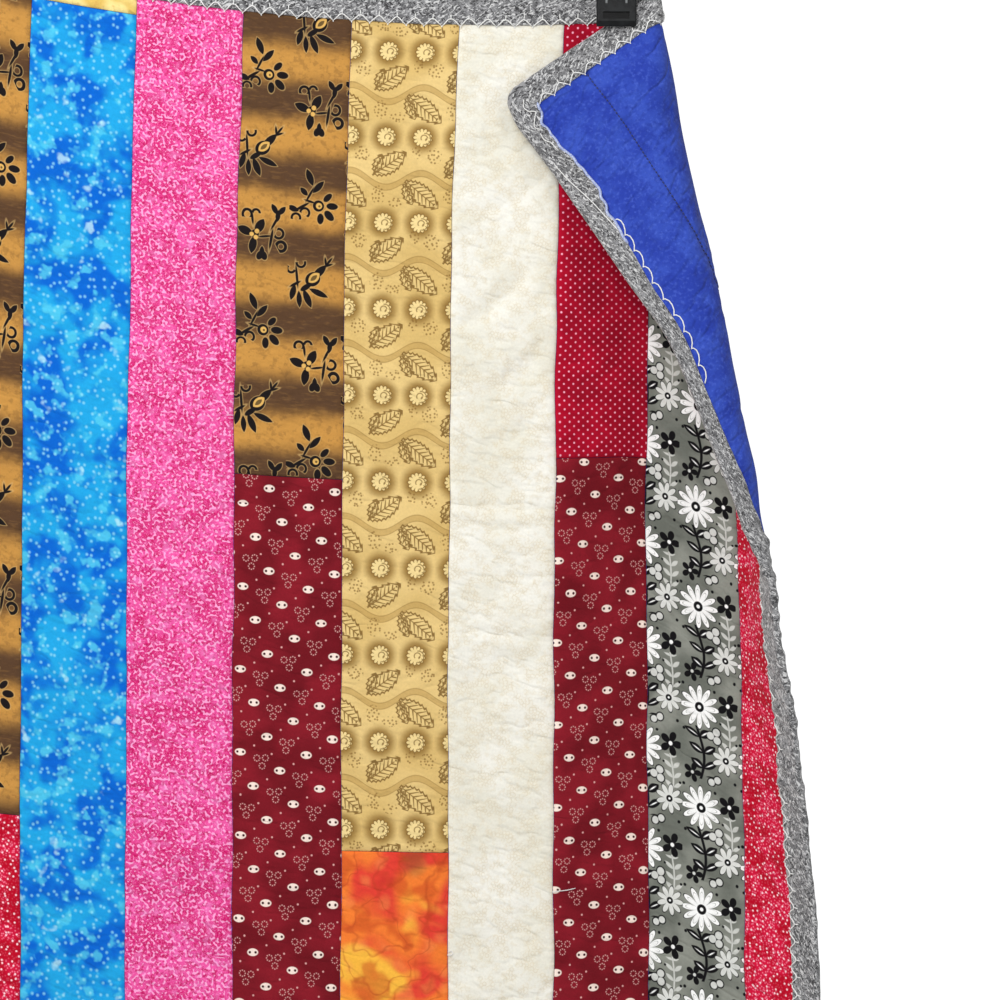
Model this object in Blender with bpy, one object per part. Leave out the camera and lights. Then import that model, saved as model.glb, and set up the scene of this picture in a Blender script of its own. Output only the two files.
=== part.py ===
"""Patchwork quilt hung by three hanger clips, its right top corner folded forward.

The cloth is described flat, by u (sideways from the middle, right is positive) and v (down from
the top edge), and hung by cloth_points(), which walks along each row of the cloth and turns it
by the angles in the ROLL table. Metres, +Z up, the front faces -Y. The origin is the top of
the middle clip, which is what the quilt hangs from.
"""

from math import cos, pi, radians, sin

import bmesh
import bpy
import numpy as np

# Strips of the patchwork between their seams, from the left edge to the right: the half strips
# at both sides end under the binding.
PLAIN_STRIP = 0.076
HALF_STRIP = 0.040
LEFT_STRIPS = [PLAIN_STRIP] * 10
RIGHT_STRIPS = [0.077, 0.076, 0.075, 0.071, 0.073]
STRIPS = [HALF_STRIP, *LEFT_STRIPS, *RIGHT_STRIPS, HALF_STRIP]
BINDING = 0.021
WIDTH = sum(STRIPS) + 2 * BINDING
LENGTH = 1.52
HALF = WIDTH / 2

# Layers, measured along the cloth's normal from the face between top and backing.
GAP = 0.0003
TOP_THICK = 0.0020
BACK_THICK = 0.0010
BINDING_THICK = 0.0010
SEAM_DIP = 0.0008
QUILT_DIP = 0.0003
SEAM_REACH = 0.006
FOLD_ROUND = 0.0007

# Clips: each has a front jaw, a back jaw and a spring. Heights run up from the jaws' lower end.
CLIP_AT = 0.4585
CLIP_PLACES = {"left": -CLIP_AT, "middle": 0.0, "right": CLIP_AT}
CLIP_WIDTH = 0.028
CLIP_GRIP = 0.027
CLIP_ABOVE = 0.024
JAW_HEIGHT = CLIP_GRIP + CLIP_ABOVE
JAW_THICK = 0.0042
JAW_FLARE = 0.0062
JAW_TIP = 0.0025
JAW_TOE = 0.0023
JAW_TOE_HEIGHT = 0.0035
JAW_BEVEL = 0.0006
PIVOT_AT = CLIP_GRIP + 0.0075
PIVOT_HALF = 0.0022
SPRING_RADIUS = 0.0030
SPRING_WIDTH = 0.012
SPRING_SIDES = 12
RIB_AT = 0.007
RIB_WIDTH = 0.0015
RIB_RAISE = 0.0006
RIB_FROM = 0.016
SLOT_WIDTH = 0.0185
SLOT_HEIGHT = 0.005
SLOT_FROM = 0.005
SLOT_DEPTH = 0.0016
PROBE = 0.001
PROBE_TO = 0.060
CUT_SPARE = 0.001
BEVEL_ANGLE = radians(50)

# Hang.
SAG_CURVE = 0.2923
SAG_LOW = 0.3823
SAG_RISE = 0.05
SAG_FADE = 0.96
EDGE_SLOPE = 0.02
LEFT_DROOP = 0.10
FLUTE = radians(4.0)
FLUTE_PITCH = 0.36
FLUTE_START = 0.035
FLUTE_GROWTH = 0.40
TURN_SOFT = 0.025

# The folded corner and the edge under it. Each row of the table is one height v of the cloth.
# Going right along it the cloth leans back by "red" degrees on the strip before last but one,
# forward by "grey" on the last whole strip, then turns to "turn_to" around the place "turn_at"
# (metres in from the side edge) over the length "turn_over", and to "fold_to" in the same way.
# "tilt" is the fold line's lean from the upright and "fall" the rows' own slope.
ROLL_COLUMNS = (
    "v", "red", "grey", "turn_at", "turn_over", "turn_to",
    "fold_at", "fold_over", "fold_to", "tilt", "fall",
)
ROLL = (
    (0.000, 0, 4, 0.1435, 0.014, 88, 0.1285, 0.014, 181, 17.0, 1),
    (0.020, 0, 4, 0.1400, 0.018, 88, 0.1225, 0.022, 183, 17.0, 1),
    (0.050, -5, 9, 0.1350, 0.034, 84, 0.1070, 0.046, 188, 16.8, 2),
    (0.090, -14, 14, 0.125, 0.052, 80, 0.088, 0.070, 190, 16.5, 4),
    (0.165, -20, 20, 0.104, 0.060, 80, 0.058, 0.066, 188, 16.0, 8),
    (0.220, -22, 24, 0.086, 0.056, 80, 0.038, 0.060, 184, 15.0, 12),
    (0.310, -22, 26, 0.067, 0.046, 75, 0.023, 0.044, 174, 14.0, 14),
    (0.350, -23, 26, 0.060, 0.038, 71, 0.018, 0.032, 162, 13.0, 14),
    (0.385, -23, 25, 0.058, 0.034, 71, 0.011, 0.030, 134, 12.0, 13),
    (0.430, -22, 24, 0.058, 0.032, 73, -0.018, 0.030, 84, 11.0, 12),
    (0.510, -20, 22, 0.056, 0.032, 60, -0.020, 0.020, 60, 10.0, 11),
    (0.690, -15, 21, 0.057, 0.036, 38, -0.020, 0.020, 38, 8.0, 9),
    (1.520, -6, 8, 0.058, 0.040, 14, -0.020, 0.020, 14, 4.0, 2),
)
RED_STRIP = (BINDING + HALF_STRIP + RIGHT_STRIPS[-1], BINDING + HALF_STRIP + sum(RIGHT_STRIPS[-2:]))
LEAN_TOP = 0.004
LEAN_FAST = 0.0085
LEAN_OVER = 0.15
LEAN_SLOW = 0.0036

# Grid of the cloth's solids.
WALK_STEP = 0.001
WALK_PAST = 0.005
ROLL_FROM = 0.150
ROLL_STEP = 0.008
ROW_STEP = 0.032
ROLL_ROWS_TO = 0.50
LOWER_ROWS = 9


def smooth(x):
    x = np.clip(x, 0, 1)
    return x * x * (3 - 2 * x)


def table_column(name, v):
    """A column of ROLL at heights v, on a smooth curve that never overshoots its rows."""
    heights = np.array([row[0] for row in ROLL])
    values = np.array([row[ROLL_COLUMNS.index(name)] for row in ROLL], float)
    steps = np.diff(heights)
    slopes = np.diff(values) / steps
    tangents = np.zeros(len(values))
    same_way = slopes[:-1] * slopes[1:] > 0
    joined = 2 * slopes[:-1] * slopes[1:] / np.where(same_way, slopes[:-1] + slopes[1:], 1)
    tangents[1:-1] = np.where(same_way, joined, 0)
    tangents[0], tangents[-1] = slopes[0], slopes[-1]
    v = np.clip(v, heights[0], heights[-1])
    k = np.clip(np.searchsorted(heights, v, side="right") - 1, 0, len(steps) - 1)
    t = (v - heights[k]) / steps[k]
    h00, h01 = (1 + 2 * t) * (1 - t) ** 2, t * t * (3 - 2 * t)
    h10, h11 = t * (1 - t) ** 2 * steps[k], t * t * (t - 1) * steps[k]
    return h00 * values[k] + h10 * tangents[k] + h01 * values[k + 1] + h11 * tangents[k + 1]


def sag_slope(u):
    """Downward slope of the top edge, which sags between the clips."""
    outside = np.abs(u) > CLIP_AT + CLIP_WIDTH / 2
    between = np.maximum(2 * SAG_CURVE * (SAG_LOW - np.abs(u)), -SAG_RISE)
    right = np.where(outside, EDGE_SLOPE, between)
    left = -np.where(outside, LEFT_DROOP, between)
    return np.where(u > 0, right, left)


def row_angles(u, v):
    """Turn towards the front and downward slope of the rows, in radians."""
    inward = HALF - u
    column = {name: table_column(name, v) for name in ROLL_COLUMNS}
    in_red = smooth((inward - RED_STRIP[0]) / TURN_SOFT + 0.5)
    in_red = in_red * smooth((RED_STRIP[1] - inward) / TURN_SOFT + 0.5)
    in_grey = smooth((RED_STRIP[0] - inward) / TURN_SOFT + 0.5)
    turned = smooth((column["turn_at"] - inward) / column["turn_over"] + 0.5)
    folded = smooth((column["fold_at"] - inward) / column["fold_over"] + 0.5)
    turn = column["red"] * in_red + column["grey"] * in_grey
    turn = turn + (column["turn_to"] - column["grey"]) * turned
    turn = np.radians(turn + (column["fold_to"] - column["turn_to"]) * folded)
    calm = smooth((inward - RED_STRIP[1]) / PLAIN_STRIP)
    flute = FLUTE * np.sin(2 * pi * u / FLUTE_PITCH) * calm
    turn = turn + flute * smooth((v - FLUTE_START) / FLUTE_GROWTH)
    tilt = np.radians(column["tilt"])
    slope = np.arcsin(np.sin(tilt) * np.cos(tilt) * (1 - np.cos(turn)) * in_grey)
    slope = slope + sag_slope(u) * np.exp(-v / SAG_FADE) * (1 - turned)
    fall = np.radians(column["fall"]) * np.cos(np.clip(turn, 0, pi / 2))
    return turn, slope + fall * in_grey


def walk(side, v):
    """Places along the rows at heights v, from the middle to one side (1 right, -1 left)."""
    steps = int(round((HALF + WALK_PAST) / WALK_STEP))
    ends = np.linspace(0, steps * WALK_STEP, steps + 1) * side
    middles = (ends[1:] + ends[:-1]) / 2
    turn, slope = row_angles(middles[None, :], v[:, None])
    ahead = np.stack([np.cos(turn) * np.cos(slope), -np.sin(turn) * np.cos(slope), -np.sin(slope)], -1)
    places = np.zeros((len(v), steps + 1, 3))
    places[:, 1:] = np.cumsum(ahead * WALK_STEP * side, axis=1)
    return ends, places


def hung(us, vs):
    """Points of the cloth at every (v, u) of the two lists, as an array [v, u, xyz]."""
    us, vs = np.asarray(us, float), np.asarray(vs, float)
    right_ends, right = walk(1, vs)
    left_ends, left = walk(-1, vs)
    ends = np.concatenate([left_ends[:0:-1], right_ends])
    places = np.concatenate([left[:, :0:-1], right], axis=1)
    found = np.empty((len(vs), len(us), 3))
    for row, line in enumerate(places):
        for axis in range(3):
            found[row, :, axis] = np.interp(us, ends, line[:, axis])
    lean = LEAN_TOP - LEAN_FAST * (1 - np.exp(-np.maximum(vs, 0) / LEAN_OVER)) - LEAN_SLOW * vs
    found[..., 0] += lean[:, None]
    found[..., 2] -= CLIP_ABOVE + vs[:, None]
    return found


def cloth_points(us, vs):
    """The middle face of the cloth and its normals towards the front."""
    delta = WALK_STEP
    us, vs = np.asarray(us, float), np.asarray(vs, float)
    across = hung(us + delta, vs) - hung(us - delta, vs)
    down = hung(us, vs + delta) - hung(us, vs - delta)
    normals = np.cross(down, across)
    normals /= np.linalg.norm(normals, axis=-1, keepdims=True)
    return hung(us, vs), normals


def seam_places():
    """u of every seam line between two strips."""
    edges = -HALF + BINDING + np.cumsum([0, *STRIPS])
    return edges[1:-1]


def seam_depth(u):
    """From 0 to 1, how close u is to a seam."""
    away = np.abs(np.asarray(u)[:, None] - seam_places()[None, :]).min(axis=1)
    return np.exp(-((away / SEAM_REACH) ** 2))


def sideways_lines():
    """u of the grid lines: each seam, each strip's middle, and close lines in the roll."""
    edge = HALF - BINDING_THICK - GAP
    seams = seam_places()
    middles = (seams[1:] + seams[:-1]) / 2
    roll = HALF - np.arange(ROLL_FROM, BINDING + ROLL_STEP / 2, -ROLL_STEP)
    calm = np.concatenate([seams, middles])
    calm = calm[calm < HALF - ROLL_FROM - ROLL_STEP / 2]
    ditch = seams[-2:]
    roll = roll[np.abs(roll[:, None] - ditch[None, :]).min(axis=1) > ROLL_STEP / 2]
    rim = [-edge, -HALF + BINDING, HALF - BINDING, HALF - BINDING / 2, edge]
    return np.unique(np.round(np.concatenate([calm, roll, ditch, rim]), 6))


def row_lines():
    """v of the grid lines, close together beside the folded corner."""
    edge = BINDING_THICK + GAP
    upper = np.arange(BINDING + ROW_STEP / 2, ROLL_ROWS_TO, ROW_STEP)
    lower = np.linspace(ROLL_ROWS_TO, LENGTH - BINDING, LOWER_ROWS)
    rim = [edge, BINDING / 2, BINDING, LENGTH - edge]
    return np.unique(np.round(np.concatenate([rim, upper, lower]), 6))


def new_material(name, colour, roughness, metallic=0.0):
    material = bpy.data.materials.new(name)
    material.use_nodes = True
    shader = material.node_tree.nodes["Principled BSDF"]
    shader.inputs["Base Color"].default_value = (*colour, 1)
    shader.inputs["Roughness"].default_value = roughness
    shader.inputs["Metallic"].default_value = metallic
    return material


def add_object(name, points, faces, material):
    mesh = bpy.data.meshes.new(name)
    mesh.from_pydata([tuple(p) for p in points], [], faces)
    shape = bmesh.new()
    shape.from_mesh(mesh)
    bmesh.ops.recalc_face_normals(shape, faces=shape.faces)
    shape.to_mesh(mesh)
    shape.free()
    mesh.materials.append(material)
    made = bpy.data.objects.new(name, mesh)
    bpy.context.scene.collection.objects.link(made)
    return made


def add_sheet(name, us, vs, front, back, material):
    """A sheet on the grid, between the heights front(u) and back(u) over the middle face."""
    middle, normals = cloth_points(us, vs)
    layers = [middle + normals * height(us)[None, :, None] for height in (front, back)]
    points = np.concatenate([layer.reshape(-1, 3) for layer in layers])
    rows, columns = len(vs), len(us)

    def corner(layer, row, column):
        return layer * rows * columns + row * columns + column

    faces = []
    for layer in (0, 1):
        for row in range(rows - 1):
            for column in range(columns - 1):
                a, b = corner(layer, row, column), corner(layer, row, column + 1)
                c, d = corner(layer, row + 1, column + 1), corner(layer, row + 1, column)
                halves = [(a, d, c), (a, c, b)]
                faces += [half[::-1] if layer else half for half in halves]
    rim = [(0, k) for k in range(columns)] + [(k, columns - 1) for k in range(1, rows)]
    rim += [(rows - 1, k) for k in range(columns - 2, -1, -1)] + [(k, 0) for k in range(rows - 2, 0, -1)]
    for here, there in zip(rim, rim[1:] + rim[:1]):
        a, b = corner(0, *here), corner(0, *there)
        c, d = corner(1, *there), corner(1, *here)
        faces += [(a, b, c), (a, c, d)]
    return add_object(name, points, faces, material)


def binding_section():
    """The binding's U section, as inward distances and heights over the middle face."""
    inner_front = TOP_THICK + GAP
    outer_front = inner_front + BINDING_THICK
    inner_back = -GAP - BACK_THICK - GAP
    outer_back = inner_back - BINDING_THICK
    return [
        (BINDING, outer_front), (BINDING / 2, outer_front), (FOLD_ROUND, outer_front),
        (0, outer_front - FOLD_ROUND), (0, outer_back + FOLD_ROUND),
        (FOLD_ROUND, outer_back), (BINDING / 2, outer_back), (BINDING, outer_back),
        (BINDING, inner_back), (BINDING / 2, inner_back), (BINDING_THICK, inner_back),
        (BINDING_THICK, inner_front), (BINDING / 2, inner_front), (BINDING, inner_front),
    ]


def binding_stations(us, vs):
    """Stations round the edge, each an outer point and the way inward, all flat."""
    across = [u for u in us if abs(u) <= HALF - BINDING + 1e-6]
    along = [v for v in vs if BINDING - 1e-6 <= v <= LENGTH - BINDING + 1e-6]
    stations = [((-HALF, 0), (1, 1))]
    stations += [((u, 0), (0, 1)) for u in across]
    stations += [((HALF, 0), (-1, 1))]
    stations += [((HALF, v), (-1, 0)) for v in along]
    stations += [((HALF, LENGTH), (-1, -1))]
    stations += [((u, LENGTH), (0, -1)) for u in reversed(across)]
    stations += [((-HALF, LENGTH), (1, -1))]
    return stations + [((-HALF, v), (1, 0)) for v in reversed(along)]


def add_binding(us, vs, material):
    """The binding. The diagonals of its faces run as the sheets' do, so the walls stay apart."""
    section, stations = binding_section(), binding_stations(us, vs)
    points, index, loops = [], {}, []
    for (u0, v0), (du, dv) in stations:
        loop = []
        for inward, height in section:
            flat = (round(u0 + du * inward, 7), round(v0 + dv * inward, 7), round(height, 7))
            if flat not in index:
                middle, normal = cloth_points([flat[0]], [flat[1]])
                index[flat] = len(points)
                points.append(middle[0, 0] + normal[0, 0] * height)
            loop.append(index[flat])
        loops.append(loop)
    faces = []
    for here, (one, two) in enumerate(zip(loops, loops[1:] + loops[:1])):
        beside = [stations[here][1], stations[(here + 1) % len(stations)][1]]
        on_side = any(down == 0 for _, down in beside)
        for k, a in enumerate(one):
            after = (k + 1) % len(one)
            b, c, d = one[after], two[after], two[k]
            inwards = section[after][0] > section[k][0]
            halves = ((a, b, d), (b, c, d)) if inwards == on_side else ((a, b, c), (a, c, d))
            faces += [half for half in halves if len(set(half)) == 3]
    return add_object("binding", points, faces, material)


def profile_solid(name, profile, width, material, bevel):
    """A closed (y, z) outline drawn out sideways by width, its edges bevelled."""
    shape = bmesh.new()
    ring = [shape.verts.new((-width / 2, y, z)) for y, z in profile]
    face = shape.faces.new(ring)
    moved = bmesh.ops.extrude_face_region(shape, geom=[face])
    verts = [item for item in moved["geom"] if isinstance(item, bmesh.types.BMVert)]
    bmesh.ops.translate(shape, verts=verts, vec=(width, 0, 0))
    bmesh.ops.recalc_face_normals(shape, faces=shape.faces)
    mesh = bpy.data.meshes.new(name)
    shape.to_mesh(mesh)
    shape.free()
    mesh.materials.append(material)
    made = bpy.data.objects.new(name, mesh)
    bpy.context.scene.collection.objects.link(made)
    if bevel:
        rounding = made.modifiers.new("Rounding", "BEVEL")
        rounding.width = bevel
        rounding.segments = 1
        rounding.limit_method = "ANGLE"
        rounding.angle_limit = BEVEL_ANGLE
    return made


def box(name, low, high):
    """A box between two corners, as a helper for a Boolean."""
    shape = bmesh.new()
    bmesh.ops.create_cube(shape, size=1)
    for vert in shape.verts:
        for axis in range(3):
            vert.co[axis] = high[axis] if vert.co[axis] > 0 else low[axis]
    mesh = bpy.data.meshes.new(name)
    shape.to_mesh(mesh)
    shape.free()
    made = bpy.data.objects.new(name, mesh)
    bpy.context.scene.collection.objects.link(made)
    made.hide_render = True
    made.display_type = "WIRE"
    return made


def combine(target, helper, operation):
    change = target.modifiers.new(operation.title(), "BOOLEAN")
    change.operation = operation
    change.object = helper
    helper.parent = target


def jaw_profile(reach):
    """Side outline of a jaw: the gripping plate, the pivot rib and the flared lever. y runs
    away from the cloth, reach is the way from the plate back to the middle of the clip."""
    return [
        (0.0, 0.0), (0.0, PIVOT_AT - PIVOT_HALF), (-reach, PIVOT_AT - PIVOT_HALF / 2),
        (-reach, PIVOT_AT + PIVOT_HALF / 2), (0.0, PIVOT_AT + PIVOT_HALF),
        (JAW_FLARE - JAW_TIP, JAW_HEIGHT), (JAW_FLARE, JAW_HEIGHT),
        (JAW_THICK, PIVOT_AT + PIVOT_HALF), (JAW_THICK, JAW_TOE_HEIGHT), (JAW_TOE, 0.0),
    ]


def cut_slot_and_ribs(jaw):
    """The slot across the front jaw's lower end and the two ribs above it."""
    face = -JAW_THICK
    low = (-SLOT_WIDTH / 2, face - CUT_SPARE, SLOT_FROM)
    high = (SLOT_WIDTH / 2, face + SLOT_DEPTH, SLOT_FROM + SLOT_HEIGHT)
    combine(jaw, box(jaw.name + "_slot", low, high), "DIFFERENCE")
    for side, at in (("left", -RIB_AT), ("right", RIB_AT)):
        low = (at - RIB_WIDTH / 2, face - RIB_RAISE, RIB_FROM)
        high = (at + RIB_WIDTH / 2, face + CUT_SPARE, PIVOT_AT)
        combine(jaw, box(f"{jaw.name}_rib_{side}", low, high), "UNION")


def add_jaw(name, place, away, side, material, pivot_y):
    """One jaw. side is -1 in front of the cloth and 1 behind it."""
    reach = abs(pivot_y - away) - GAP / 2
    profile = [(side * y, z) for y, z in jaw_profile(reach)]
    jaw = profile_solid(name, profile, CLIP_WIDTH, material, JAW_BEVEL)
    jaw.location = (place[0], away, place[2])
    if side < 0:
        cut_slot_and_ribs(jaw)


def add_spring(name, place, material, pivot_y):
    """The coil between the levers, just above the pivot ribs."""
    height = PIVOT_AT + PIVOT_HALF / 2 + SPRING_RADIUS + GAP
    turns = [2 * pi * k / SPRING_SIDES for k in range(SPRING_SIDES)]
    ring = [(SPRING_RADIUS * cos(turn), height + SPRING_RADIUS * sin(turn)) for turn in turns]
    spring = profile_solid(name, ring, SPRING_WIDTH, material, 0)
    spring.location = (place[0], pivot_y, place[2])
    return spring


def depth_at_clip(place):
    """The foremost and hindmost y of the cloth between the jaws of a clip at a place."""
    us = np.arange(-HALF, HALF, PROBE)
    vs = np.arange(0, PROBE_TO, PROBE)
    middle, normal = cloth_points(us, vs)
    heights = [height for _, height in binding_section()]
    faces = np.stack([middle + normal * height for height in (min(heights), max(heights))])
    beside = np.abs(faces[..., 0] - place[0]) < CLIP_WIDTH / 2 + PROBE
    gripped = beside & (faces[..., 2] > place[2] - PROBE)
    return faces[gripped][:, 1].min(), faces[gripped][:, 1].max()


def add_clip(label, u, plastic, steel):
    """A clip on the top edge at u. The right one holds the folded corner as well."""
    place = hung([u], [CLIP_GRIP])[0, 0]
    foremost, hindmost = depth_at_clip(place)
    front, back = foremost - GAP, hindmost + GAP
    pivot = (front + back) / 2
    add_jaw(f"clip_front_{label}", place, front, -1, plastic, pivot)
    add_jaw(f"clip_back_{label}", place, back, 1, plastic, pivot)
    add_spring(f"clip_spring_{label}", place, steel, pivot)


def clear_scene():
    for old in list(bpy.data.objects):
        bpy.data.objects.remove(old)


def build():
    clear_scene()
    us, vs = sideways_lines(), row_lines()
    patchwork = new_material("patchwork", (0.62, 0.35, 0.28), 0.9)
    blue = new_material("backing", (0.034, 0.072, 0.467), 0.9)
    heather = new_material("binding", (0.24, 0.24, 0.25), 0.95)
    plastic = new_material("clip_plastic", (0.02, 0.021, 0.023), 0.35)
    steel = new_material("clip_steel", (0.55, 0.55, 0.55), 0.3, 1.0)
    add_sheet(
        "patchwork_top", us, vs,
        lambda u: TOP_THICK - SEAM_DIP * seam_depth(u), lambda u: np.zeros(len(u)), patchwork,
    )
    add_sheet(
        "backing", us, vs,
        lambda u: np.full(len(u), -GAP), lambda u: -GAP - BACK_THICK + QUILT_DIP * seam_depth(u), blue,
    )
    add_binding(us, vs, heather)
    for label, u in CLIP_PLACES.items():
        add_clip(label, u, plastic, steel)


build()
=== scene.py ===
"""Looks of the patchwork quilt that hangs from three clips, its right top corner folded forward.

The cloth is described flat, by u (sideways from the middle), v (down from the top edge) and w
(out of the patchwork face), and hung by the same angles as the part. Metres, +Z up, front -Y.
Prints are drawn in print units of 0.7115 mm on the flat cloth.
"""

from math import cos, pi, radians, sin

import bpy
import numpy as np
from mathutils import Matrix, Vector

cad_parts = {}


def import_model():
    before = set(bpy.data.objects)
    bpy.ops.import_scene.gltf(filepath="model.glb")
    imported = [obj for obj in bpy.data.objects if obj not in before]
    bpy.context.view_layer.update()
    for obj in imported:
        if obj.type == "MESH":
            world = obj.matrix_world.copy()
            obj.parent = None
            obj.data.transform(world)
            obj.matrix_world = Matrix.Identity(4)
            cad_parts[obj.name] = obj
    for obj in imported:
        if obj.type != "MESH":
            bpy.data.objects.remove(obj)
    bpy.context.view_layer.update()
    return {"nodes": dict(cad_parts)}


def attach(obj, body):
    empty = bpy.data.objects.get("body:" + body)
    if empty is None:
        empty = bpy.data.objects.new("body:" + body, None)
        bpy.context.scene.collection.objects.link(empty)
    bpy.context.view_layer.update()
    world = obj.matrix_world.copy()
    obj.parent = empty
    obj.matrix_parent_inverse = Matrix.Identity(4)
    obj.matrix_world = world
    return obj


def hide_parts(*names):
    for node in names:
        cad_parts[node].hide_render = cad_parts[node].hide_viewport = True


MM = 0.001
UNIT = 0.0007115
# The hanging rows lie closer than on the flat cloth, so prints are drawn longer by this.
DRAWN_UP = 1.045

# The cloth's cut, as in the part.
PLAIN_STRIP = 0.076
HALF_STRIP = 0.040
LEFT_STRIPS = [PLAIN_STRIP] * 10
RIGHT_STRIPS = [0.077, 0.076, 0.075, 0.071, 0.073]
STRIPS = [HALF_STRIP, *LEFT_STRIPS, *RIGHT_STRIPS, HALF_STRIP]
BINDING = 0.021
WIDTH = sum(STRIPS) + 2 * BINDING
LENGTH = 1.52
HALF = WIDTH / 2
TOP_FACE = 0.0020
BACK_FACE = -0.0013
CLIP_AT = 0.4585
CLIP_WIDTH = 0.028
CLIP_ABOVE = 0.024

# Hang, as in the part.
SAG_CURVE = 0.2923
SAG_LOW = 0.3823
SAG_RISE = 0.05
SAG_FADE = 0.96
EDGE_SLOPE = 0.02
LEFT_DROOP = 0.10
FLUTE = radians(4.0)
FLUTE_PITCH = 0.36
FLUTE_START = 0.035
FLUTE_GROWTH = 0.40
TURN_SOFT = 0.025
ROLL_COLUMNS = (
    "v", "red", "grey", "turn_at", "turn_over", "turn_to",
    "fold_at", "fold_over", "fold_to", "tilt", "fall",
)
ROLL = (
    (0.000, 0, 4, 0.1435, 0.014, 88, 0.1285, 0.014, 181, 17.0, 1),
    (0.020, 0, 4, 0.1400, 0.018, 88, 0.1225, 0.022, 183, 17.0, 1),
    (0.050, -5, 9, 0.1350, 0.034, 84, 0.1070, 0.046, 188, 16.8, 2),
    (0.090, -14, 14, 0.125, 0.052, 80, 0.088, 0.070, 190, 16.5, 4),
    (0.165, -20, 20, 0.104, 0.060, 80, 0.058, 0.066, 188, 16.0, 8),
    (0.220, -22, 24, 0.086, 0.056, 80, 0.038, 0.060, 184, 15.0, 12),
    (0.310, -22, 26, 0.067, 0.046, 75, 0.023, 0.044, 174, 14.0, 14),
    (0.350, -23, 26, 0.060, 0.038, 71, 0.018, 0.032, 162, 13.0, 14),
    (0.385, -23, 25, 0.058, 0.034, 71, 0.011, 0.030, 134, 12.0, 13),
    (0.430, -22, 24, 0.058, 0.032, 73, -0.018, 0.030, 84, 11.0, 12),
    (0.510, -20, 22, 0.056, 0.032, 60, -0.020, 0.020, 60, 10.0, 11),
    (0.690, -15, 21, 0.057, 0.036, 38, -0.020, 0.020, 38, 8.0, 9),
    (1.520, -6, 8, 0.058, 0.040, 14, -0.020, 0.020, 14, 4.0, 2),
)
RED_STRIP = (BINDING + HALF_STRIP + RIGHT_STRIPS[-1], BINDING + HALF_STRIP + sum(RIGHT_STRIPS[-2:]))
LEAN_TOP = 0.004
LEAN_FAST = 0.0085
LEAN_OVER = 0.15
LEAN_SLOW = 0.0036
WALK_STEP = 0.001
WALK_PAST = 0.005

# A clip's plate as it shows, in millimetres.
CLIP_WIDE_MM = 28.0
CLIP_HIGH_MM = 51.0
# Pitch of the cottons' weave, in print units.
WEAVE = 0.62

# Fine grid on which the hung cloth is kept.
GRID_U = 0.001
GRID_V = 0.002
GRID_PAST = 0.004

# Light, for a plain picture without a film curve. Lamps: name, place, aim, size and power.
WORLD_LIGHT = 0.34
WORLD_SEEN = 1.1
LAMPS = (
    ("key", (-0.3, -2.7, 0.7), (0.35, 0, -0.50), 1.4, 45),
    ("top", (-0.9, -1.3, 1.1), (0.35, 0, -0.50), 0.6, 17),
    ("fill", (2.0, -2.2, 0.1), (0.35, 0, -0.50), 1.6, 12),
    ("back", (-0.9, 2.7, 0.9), (0, 0, -0.75), 1.6, 46),
)
CAMERA_AT = (0.3761, -2.2, -0.4242)
VIEW_WIDTH = 0.7115
FLOOR_AT = -1.80
FLOOR_HALF = 3.4
FLOOR_STEPS = 12


def smooth(x):
    """From 0 to 1 while x does, with soft ends."""
    x = np.clip(x, 0, 1)
    return x * x * (3 - 2 * x)


# ---------------------------------------------------------------- the hung cloth


def table_column(name, v):
    """A column of ROLL at heights v, on a smooth curve that never overshoots its rows."""
    heights = np.array([row[0] for row in ROLL])
    values = np.array([row[ROLL_COLUMNS.index(name)] for row in ROLL], float)
    steps = np.diff(heights)
    slopes = np.diff(values) / steps
    tangents = np.zeros(len(values))
    same_way = slopes[:-1] * slopes[1:] > 0
    joined = 2 * slopes[:-1] * slopes[1:] / np.where(same_way, slopes[:-1] + slopes[1:], 1)
    tangents[1:-1] = np.where(same_way, joined, 0)
    tangents[0], tangents[-1] = slopes[0], slopes[-1]
    v = np.clip(v, heights[0], heights[-1])
    k = np.clip(np.searchsorted(heights, v, side="right") - 1, 0, len(steps) - 1)
    t = (v - heights[k]) / steps[k]
    h00, h01 = (1 + 2 * t) * (1 - t) ** 2, t * t * (3 - 2 * t)
    h10, h11 = t * (1 - t) ** 2 * steps[k], t * t * (t - 1) * steps[k]
    return h00 * values[k] + h10 * tangents[k] + h01 * values[k + 1] + h11 * tangents[k + 1]


def sag_slope(u):
    """Downward slope of the top edge, which sags between the clips."""
    outside = np.abs(u) > CLIP_AT + CLIP_WIDTH / 2
    between = np.maximum(2 * SAG_CURVE * (SAG_LOW - np.abs(u)), -SAG_RISE)
    right = np.where(outside, EDGE_SLOPE, between)
    left = -np.where(outside, LEFT_DROOP, between)
    return np.where(u > 0, right, left)


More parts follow.
